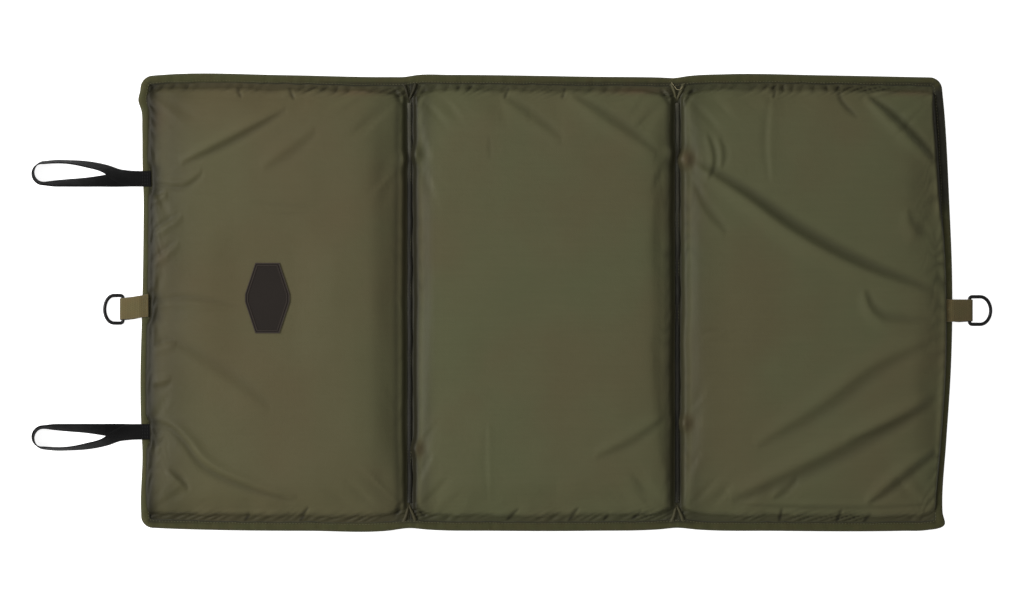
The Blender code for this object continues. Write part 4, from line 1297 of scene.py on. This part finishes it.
# The strip between two pads: the covers sewn flat, a little raised along its middle
channelStrip = {
    "half": 0.0030, "end": 0.2560, "base": 0.0088, "crown": 0.0122, "step": 0.003,
    "waver": 0.0009, "waverLength": 0.030, "seamOffset": 0.0019, "seamRise": 0.0024, "drop": 0.0076,
    # How much of its colour is lost in shade, by place along it.
    "shade": {"left": ((-0.28, 0.92), (0.150, 0.92), (0.182, 0.40), (0.205, 0.08), (0.28, 0.08)),
              "right": ((-0.28, 0.80), (0.070, 0.78), (0.100, 0.42), (0.165, 0.36), (0.190, 0.08),
                        (0.28, 0.08))},
}


def channelOutline(waver):
    half, base, crown, drop = (channelStrip[key] for key in ("half", "base", "crown", "drop"))
    rise = crown - base
    upper = [(-half, base)] + [(half * math.sin(a), base + rise * (0.35 + 0.65 * math.cos(a)) + waver)
                               for a in np.linspace(-1.25, 1.25, 9)] + [(half, base)]
    return upper + [(half * 0.8, drop), (-half * 0.8, drop)]


for label, side in mat["sides"]:
    x = side * mat["channelMiddle"]
    path = evenly([Vector((x, -channelStrip["end"])), Vector((x, channelStrip["end"]))],
                  channelStrip["step"])
    rings, tops = [], []
    for here in path:
        place = Vector((side, here.y / channelStrip["waverLength"], 2.0))
        sway = channelStrip["waver"] * noise.noise(place)
        rings.append([Vector((here.x + u + sway, here.y, z)) for u, z in channelOutline(sway)])
        tops.append(here.x + sway)
    strip = sweep(label + "ChannelStrip", rings, pathSpans(path), channelCloth)
    shade = readCurve(channelStrip["shade"][label], getPoints(strip.data)[:, 1])
    keepShares(strip, "crease", np.clip(shade, 0, 1))
    keepLaidOut(strip)
    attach(strip, label + "_web")
    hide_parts(label + "_fold_web")
    runs = []
    for offset in (-channelStrip["seamOffset"], channelStrip["seamOffset"]):
        z = channelStrip["base"] + channelStrip["seamRise"]
        runs.append(([Vector((top + offset, here.y, z)) for top, here in zip(tops, path)], (0, 0, 1)))
    threads = stitchRun(label + "ChannelStitches", runs, seamThread)
    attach(threads, label + "_web")

# Pleats that close each channel's ends: the spare cloth laid in a V and sewn down
pleat = {
    "top": 0.2810, "foot": 0.2590, "apart": 0.0078, "half": 0.0026, "base": 0.0096, "crown": 0.0129,
    "steps": 16, "curl": 0.0006, "sink": 0.0008, "stain": 0.25,
    # How deep in shade each pair lies
    "shade": {"leftRear": 0.88, "rightRear": 0.34, "leftFront": 0.62, "rightFront": 0.52},
}


def pleatRidge(name, centreX, side, lean, shade):
    # Widest at its top under the tape, and narrow at its foot.
    down = pleat["foot"] - pleat["top"]
    heading = Vector((-lean * pleat["apart"], side * down, 0)).normalized()
    across = Vector((-heading.y, heading.x, 0))
    rings, path = [], []
    for share in np.linspace(0, 1, pleat["steps"]):
        bend = pleat["curl"] * math.sin(5 * share)
        here = Vector((centreX + lean * pleat["apart"] * (1 - share) + bend,
                       side * (pleat["top"] + down * share), 0))
        swell = math.sin(math.pi * min(0.25 + 0.75 * share, 0.97)) ** 0.6
        height = (pleat["crown"] - pleat["base"]) * swell
        half = pleat["half"] * (1.1 - 0.55 * share)
        outline = [(half * math.cos(a), height * math.sin(a)) for a in np.linspace(math.pi, 0, 9)]
        outline += [(half * 0.8, -pleat["sink"]), (-half * 0.8, -pleat["sink"])]
        path.append(here)
        rings.append([here + across * u + Vector((0, 0, pleat["base"] + v)) for u, v in outline])
    ridge = sweep(name, rings, pathSpans(path), nylon)
    for key, value in (("crease", shade), ("stain", pleat["stain"])):
        keepShares(ridge, key, np.full(len(ridge.data.vertices), value))
    keepLaidOut(ridge)
    return ridge


for label, webSide in mat["sides"]:
    for end, side in (("Rear", 1), ("Front", -1)):
        for lean, hand in ((-1, "A"), (1, "B")):
            ridge = pleatRidge(label + end + "Pleat" + hand, webSide * mat["channelMiddle"], side, lean,
                               pleat["shade"][label + end])
            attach(ridge, label + "_web")

# Threads that have come loose where the second fold meets the rear tape
fray = {"length": 0.0062, "gap": 0.0001, "radius": 0.00042, "sink": 0.0}
frayPaths = (((0.1638, 0.2822, 0.0130), (0.1726, 0.2706, 0.0134), (0.1786, 0.2768, 0.0130)),
             ((0.1625, 0.2866, 0.0126), (0.1780, 0.2890, 0.0112)))
frayed = stitchRun("frayedThreads", [([Vector(point) for point in path], (0, 0, 1)) for path in frayPaths],
                   paleThread, fray)
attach(frayed, "right_web")


# Straps: a thin band with rounded edges, carried along a centre line

def bandRing(centre, across, up, width, thickness):
    half, thin = width / 2, thickness / 2
    edge = thin * 0.9
    upper = [(-half + edge, thin), (-half * 0.5, thin), (0, thin), (half * 0.5, thin),
             (half - edge, thin), (half - 0.3 * edge, thin * 0.72), (half, 0),
             (half - 0.3 * edge, -thin * 0.72)]
    outline = upper + [(-u, -v) for u, v in upper]
    return [centre + across * u + up * v for u, v in outline]


def rootStitches(name, strap, places, thread):
    # Rows of stitches across a strap's root. Each place is a row's x and its middle's y.
    z = strap["axisHeight"] + strap["layer"] + strap["thickness"] / 2
    half = strap["rowHalf"]
    runs = [([Vector((x, y - half, z)), Vector((x, y + half, z))], (0, 0, 1)) for x, y in places]
    return stitchRun(name, runs, thread)


webTab = {
    "thickness": 0.0012, "rootLength": {"left": 0.0090, "right": 0.0112}, "flexOut": 0.002, "reach": 0.022,
    "axisHeight": 0.01285, "barHeight": 0.0041, "wrap": 0.0036, "layer": 0.00062,
    "step": 0.0010, "rows": (0.32, 0.56, 0.80), "rowHalf": 0.0125,
    # The cut end is turned under, so that it stands up as a rib.
    "rib": ((0.0012, 0), (0.0002, 0.0007), (-0.0004, 0.0001), (-0.0001, -0.0006)),
    # Width and sideways shift by distance out from the edge; the lower layer lies a little aside.
    "widths": ((-0.011, 0.0294), (0.002, 0.0286), (0.024, 0.0274)),
    "shifts": {"left": ((-0.011, 0.0034), (0.002, 0.0014), (0.024, -0.0012)),
               "right": ((-0.011, 0.0), (0.002, 0.0), (0.024, 0.0006))},
    "lowerAside": -0.0011, "lowerRun": 0.012,
}


def tabPath(style, rootLength):
    # In the tab's own plane: out from the mat's edge, and up.
    axis = Vector((style["flexOut"], style["axisHeight"]))
    bar = Vector((style["flexOut"] + style["reach"], style["barHeight"]))
    span = bar - axis
    heading = math.atan2(span.y, span.x)
    lean = math.asin((style["wrap"] - style["layer"]) / span.length)
    around = [bar + Vector((math.cos(a), math.sin(a))) * style["wrap"]
              for a in np.linspace(heading - math.pi / 2 - lean, heading + math.pi / 2 + lean, 19)]
    lower = axis + Vector((0, -style["layer"]))
    upper = axis + Vector((0, style["layer"]))
    rootIn = -rootLength
    path = [Vector((rootIn, lower.y)), Vector((rootIn * 0.4, lower.y)), lower, around[0]]
    path += around[1:-1]
    path += [around[-1], upper, Vector((rootIn * 0.4, upper.y))]
    path += [Vector((rootIn + outwards, upper.y + raised)) for outwards, raised in style["rib"]]
    return path


def softenPath(path, rounds):
    points = [point.copy() for point in path]
    for _ in range(rounds):
        between = [(a + b * 2 + c) / 4 for a, b, c in zip(points, points[1:], points[2:])]
        points = [points[0], *between, points[-1]]
    return points


def webbingStrap(name, path, spot, shifts):
    side = spot["side"]
    across = Vector((0, -side, 0))
    rings = []
    for index, here in enumerate(path):
        heading = headingAt(path, index)
        # One strap turns round the bar, so its lower layer heads out and its upper one back.
        lower = smooth(0.5 + 0.5 * heading.x) * smooth(here.x / webTab["lowerRun"])
        y = spot["y"] + readCurve(shifts, here.x) + webTab["lowerAside"] * lower
        centre = Vector((spot["edge"] + side * here.x, y, here.y))
        forward = Vector((side * heading.x, 0, heading.y))
        up = across.cross(forward).normalized()
        width = readCurve(webTab["widths"], here.x)
        rings.append(bandRing(centre, across, up, width, webTab["thickness"]))
    return sweep(name, rings, pathSpans(path), khakiWebbing)


# Where each tab leaves the edge, how far its ring sits aside, and how much deeper the ring is.
tabPlaces = {
    "left": {"edge": mat["leftEdge"], "y": -0.0065, "side": -1, "ringShift": -0.0019, "deeper": 0.0},
    "right": {"edge": 0.52249, "y": -0.0100, "side": 1, "ringShift": 0.0, "deeper": 0.0018},
}
for label, spot in tabPlaces.items():
    side = spot["side"]
    rootLength = webTab["rootLength"][label]
    path = evenly(softenPath(evenly(tabPath(webTab, rootLength), 0.0005), 3), webTab["step"])
    tab = webbingStrap(label + "WebbingTab", path, spot, webTab["shifts"][label])
    keepLaidOut(tab)
    edgeX, y = spot["edge"], spot["y"]
    places = [(edgeX - side * share * rootLength,
               y + readCurve(webTab["shifts"][label], -share * rootLength)) for share in webTab["rows"]]
    threads = rootStitches(label + "TabStitches", webTab, places, seamThread)
    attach(threads, label + "_panel")
    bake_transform(tab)
    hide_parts(label + "_tab_root", label + "_ring_tab")
print("webbing tabs sewn on")


# D-rings, bent from round wire

wireRing = {
    "wire": 0.0023, "span": 0.0354, "corner": 0.0034, "leg": 0.0083, "bow": 0.012, "floorGap": 0.0002,
    "sides": 16, "step": 0.0010,
}


def arc(centre, radiusX, radiusY, start, end, count):
    return [(centre[0] + radiusX * math.cos(a), centre[1] + radiusY * math.sin(a))
            for a in np.linspace(start, end, count)]


def ringPath(style):
    # The straight bar's end, round the bow and back, as out from the bar and along it.
    half, bend = style["span"] / 2, style["corner"]
    path = arc((bend, half - bend), bend, bend, math.pi, math.pi / 2, 12)
    path += arc((bend + style["leg"], 0), style["bow"], half, math.pi / 2, -math.pi / 2, 60)
    path += arc((bend, bend - half), bend, bend, -math.pi / 2, -math.pi, 12)
    path += [path[0]]
    return [Vector(point) for point in path]


def wireTube(name, path, toWorld, plane, radius, sides, material):
    rings = []
    last = len(path) - 1
    for index in range(last):
        heading = (toWorld(path[(index + 1) % last]) - toWorld(path[(index - 1) % last])).normalized()
        out = heading.cross(plane).normalized()
        rings.append([toWorld(path[index]) + (out * math.cos(a) + plane * math.sin(a)) * radius
                      for a in np.linspace(0, 2 * math.pi, sides, endpoint=False)])
    rings.append(rings[0])
    return sweep(name, rings, pathSpans(path), material)


for label, spot in tabPlaces.items():
    side = spot["side"]
    barX = spot["edge"] + side * (webTab["flexOut"] + webTab["reach"])
    barZ = webTab["barHeight"]
    shape = dict(wireRing, leg=wireRing["leg"] + spot["deeper"], bow=wireRing["bow"] + spot["deeper"])
    reach = shape["corner"] + shape["leg"] + shape["bow"]
    droop = math.asin((barZ - wireRing["wire"] - wireRing["floorGap"]) / reach)
    outAxis = Vector((side * math.cos(droop), 0, -math.sin(droop)))
    plane = Vector((side * math.sin(droop), 0, math.cos(droop)))
    centre = Vector((barX, spot["y"] + spot["ringShift"], barZ))
    path = evenly(ringPath(shape), shape["step"])
    ring = wireTube(label + "DRing", path, lambda p: centre + outAxis * p.x + Vector((0, p.y, 0)),
                    plane, wireRing["wire"], wireRing["sides"], ringMetal)
    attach(ring, label + "_ring")
    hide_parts(label + "_d_ring")
print("rings hung")


# Elastic closing loops. Each leg: reach out, sideways, twist in quarter turns, and height
# share between the root and the tip that stands on its edge.

loop = {
    "width": 0.020, "thickness": 0.0016, "reach": 0.1366, "spread": 0.028, "flexOut": 0.0022,
    "axisHeight": 0.0131, "layer": 0.0009, "tipHeight": 0.0103, "rootLength": 0.0124,
    "legSteps": 52, "tipSteps": 20, "rootSteps": 8, "rows": (0.0022, 0.0052, 0.0082), "rowHalf": 0.0085,
    "outerLeg": ((0.0, 0.0, 0.0, 1.0), (0.08, 0.02, 0.08, 1.00), (0.20, 0.164, 0.40, 0.85),
                 (0.31, 0.437, 0.63, 0.55), (0.50, 0.670, 0.748, 0.22), (0.68, 0.775, 0.86, 0.05),
                 (0.80, 0.785, 0.87, 0.00), (0.89, 0.75, 0.885, 0.00)),
    "innerLeg": ((0.0, 0.0, 0.0, 1.0), (0.08, 0.00, 0.04, 1.00), (0.20, -0.034, 0.22, 0.60),
                 (0.31, -0.08, 0.417, 0.15), (0.50, -0.148, 0.60, 0.02), (0.68, -0.184, 0.685, 0.00),
                 (0.80, -0.209, 0.75, 0.00), (0.89, -0.214, 0.86, 0.00)),
}


def readRows(rows, count):
    # Smooth curves through the table's columns, at even steps of its first one.
    rows = np.array(rows)
    places = np.linspace(rows[0, 0], rows[-1, 0], count)
    columns = [readCurve(rows[:, (0, column)], places) for column in range(1, rows.shape[1])]
    return zip(places, *columns)


def loopSections():
    # Centre line and turn on it, from the root's upper layer round the tip to its lower layer.
    drop = loop["tipHeight"] - loop["axisHeight"]
    legs = []
    for rows, layer, turned in ((loop["outerLeg"], loop["layer"], 0),
                                (loop["innerLeg"], -loop["layer"], math.pi)):
        leg = []
        for reach, aside, twist, height in readRows(rows, loop["legSteps"]):
            level = layer * height + drop * (1 - height)
            leg.append((Vector((loop["reach"] * reach, loop["spread"] * aside, level)),
                        abs(turned - math.pi / 2 * twist)))
        legs.append(leg)
    outer, inner = legs
    far, near = outer[-1][0], inner[-1][0]
    radius = (far.y - near.y) / 2
    middle = Vector((loop["reach"] - radius, (far.y + near.y) / 2, drop))
    tip = [(middle + Vector((radius * math.sin(share * math.pi), radius * math.cos(share * math.pi), 0)),
            outer[-1][1] * (1 - share) + inner[-1][1] * share)
           for share in np.linspace(0, 1, loop["tipSteps"])][1:-1]
    rootIn = loop["flexOut"] + loop["rootLength"]
    inwards = np.linspace(0, 1, loop["rootSteps"])[1:] * -rootIn
    upperRoot = [(Vector((x, 0, loop["layer"])), 0.0) for x in inwards[::-1]]
    lowerRoot = [(Vector((x, 0, -loop["layer"])), math.pi) for x in inwards]
    return upperRoot + outer + tip + inner[::-1] + lowerRoot


def closingLoop(name, y, sideY):
    origin = Vector((mat["leftEdge"] - loop["flexOut"], y, loop["axisHeight"]))

    def toWorld(point):
        return origin + Vector((-point.x, sideY * point.y, point.z))

    sections = loopSections()
    centres = [toWorld(centre) for centre, twist in sections]
    rings = []
    for index, (_, twist) in enumerate(sections):
        heading = headingAt(centres, index)
        level = Vector((-heading.y, heading.x, 0)).normalized() * sideY
        across = level * math.cos(twist) + Vector((0, 0, math.sin(twist)))
        across = (across - heading * across.dot(heading)).normalized()
        up = across.cross(heading).normalized()
        rings.append(bandRing(centres[index], across, up, loop["width"], loop["thickness"]))
    return sweep(name, rings, pathSpans(centres), blackElastic)


for label, y, sideY in (("rear", 0.1587, 1), ("front", -0.1652, -1)):
    band = closingLoop(label + "ClosingLoop", y, sideY)
    keepLaidOut(band)
    edgeX = mat["leftEdge"]
    threads = rootStitches(label + "LoopStitches", loop, [(edgeX + inwards, y) for inwards in loop["rows"]],
                           blackThread)
    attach(threads, "left_panel")
    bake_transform(band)
    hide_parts(label + "_loop_root", label + "_closing_loop")
print("closing loops sewn on")


# Badge: a long hexagon with a double raised border, its face left plain

badge = {
    "centre": badgeSpot["centre"], "lift": 0.02490, "thickness": 0.00135,
    "width": 0.057, "height": 0.090, "flat": 0.0305, "shoulder": 0.010,
    "outerRim": 0.0012, "groove": 0.0011, "innerRim": 0.0013, "depth": 0.00045, "slope": 0.0003,
}


def makeBadge():
    bm = bmesh.new()
    half, high, flat, shoulder = (badge[key] / 2 for key in ("width", "height", "flat", "shoulder"))
    cx, cy = badge["centre"]
    outline = [(flat, high), (-flat, high), (-half, shoulder), (-half, -shoulder)]
    outline += [(-x, -y) for x, y in outline]
    face = bm.faces.new([bm.verts.new((cx + x, cy + y, badge["lift"])) for x, y in outline])
    geometry = bmesh.ops.extrude_face_region(bm, geom=[face])["geom"]
    lifted = [item for item in geometry if isinstance(item, bmesh.types.BMVert)]
    bmesh.ops.translate(bm, verts=lifted, vec=(0, 0, badge["thickness"]))
    lid = [item for item in geometry if isinstance(item, bmesh.types.BMFace)]
    slope = badge["slope"]
    for width, depth in ((badge["outerRim"], 0), (slope, -badge["depth"]), (badge["groove"], 0),
                         (slope, badge["depth"]), (badge["innerRim"], 0), (slope, -badge["depth"])):
        bmesh.ops.inset_region(bm, faces=lid, thickness=width, depth=depth, use_even_offset=True)
    piece = finishMesh("badgePatch", bm, badgeRubber)
    piece.data.shade_flat()
    return piece


badgePiece = makeBadge()
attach(badgePiece, "left_panel")
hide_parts("badge_patch")
print("badge on")


# Floor, lamps and world

studio = {
    "worldStrength": 0.37, "keyPower": 158.0, "keySize": 1.5, "keyPlace": (-3.4, 0.4, 2.2),
    "fillPower": 8.0, "fillSize": 2.4, "fillPlace": (0.2, 0.0, 3.2), "floorShine": 0.82,
}

bm = bmesh.new()
bmesh.ops.create_grid(bm, x_segments=1, y_segments=1, size=6.0)
floor = finishMesh("studioFloor", bm, bpy.data.materials.new("paperWhite"))
floorTree = floor.data.materials[0]
floorTree.use_nodes = True
floorTree = floorTree.node_tree
paper = floorTree.nodes["Principled BSDF"]
paper.inputs["Base Color"].default_value = (0.85, 0.85, 0.85, 1.0)
paper.inputs["Roughness"].default_value = 0.9
path = floorTree.nodes.new("ShaderNodeLightPath")
mirrored = mathNode(floorTree, "MAXIMUM", path.outputs["Is Glossy Ray"],
                    path.outputs["Is Transmission Ray"])
seen = mathNode(floorTree, "MAXIMUM", path.outputs["Is Camera Ray"], mirrored)
glow = addNode(floorTree, "ShaderNodeEmission", {"Strength": studio["floorShine"]})
dark = addNode(floorTree, "ShaderNodeEmission", {"Strength": 0.0})
shown = addNode(floorTree, "ShaderNodeMixShader", {0: seen, 1: dark.outputs[0], 2: glow.outputs[0]})
together = addNode(floorTree, "ShaderNodeAddShader", {0: paper.outputs[0], 1: shown.outputs[0]})
feed(floorTree, floorTree.nodes["Material Output"], "Surface", together.outputs[0])

world = bpy.data.worlds.new("studio")
scene.world = world
world.use_nodes = True
worldTree = world.node_tree
ambient = worldTree.nodes["Background"]
ambient.inputs["Color"].default_value = (1.0, 1.0, 1.0, 1.0)
ambient.inputs["Strength"].default_value = studio["worldStrength"]
backdrop = addNode(worldTree, "ShaderNodeBackground", {"Color": (1.0, 1.0, 1.0, 1.0), "Strength": 1.0})
worldPath = worldTree.nodes.new("ShaderNodeLightPath")
worldMix = addNode(worldTree, "ShaderNodeMixShader", {
    0: worldPath.outputs["Is Camera Ray"], 1: ambient.outputs[0], 2: backdrop.outputs[0]})
feed(worldTree, worldTree.nodes["World Output"], "Surface", worldMix.outputs[0])


def softLamp(name, place, aim, size, power):
    data = bpy.data.lights.new(name, "AREA")
    data.energy = power
    data.size = size
    lamp = bpy.data.objects.new(name, data)
    lamp.location = place
    lamp.rotation_euler = (Vector(aim) - Vector(place)).to_track_quat("-Z", "Y").to_euler()
    lamp.visible_camera = False
    scene.collection.objects.link(lamp)


softLamp("keyLamp", studio["keyPlace"], (0, 0, 0), studio["keySize"], studio["keyPower"])
softLamp("fillLamp", studio["fillPlace"], (0, 0, 0), studio["fillSize"], studio["fillPower"])
print("studio lit")
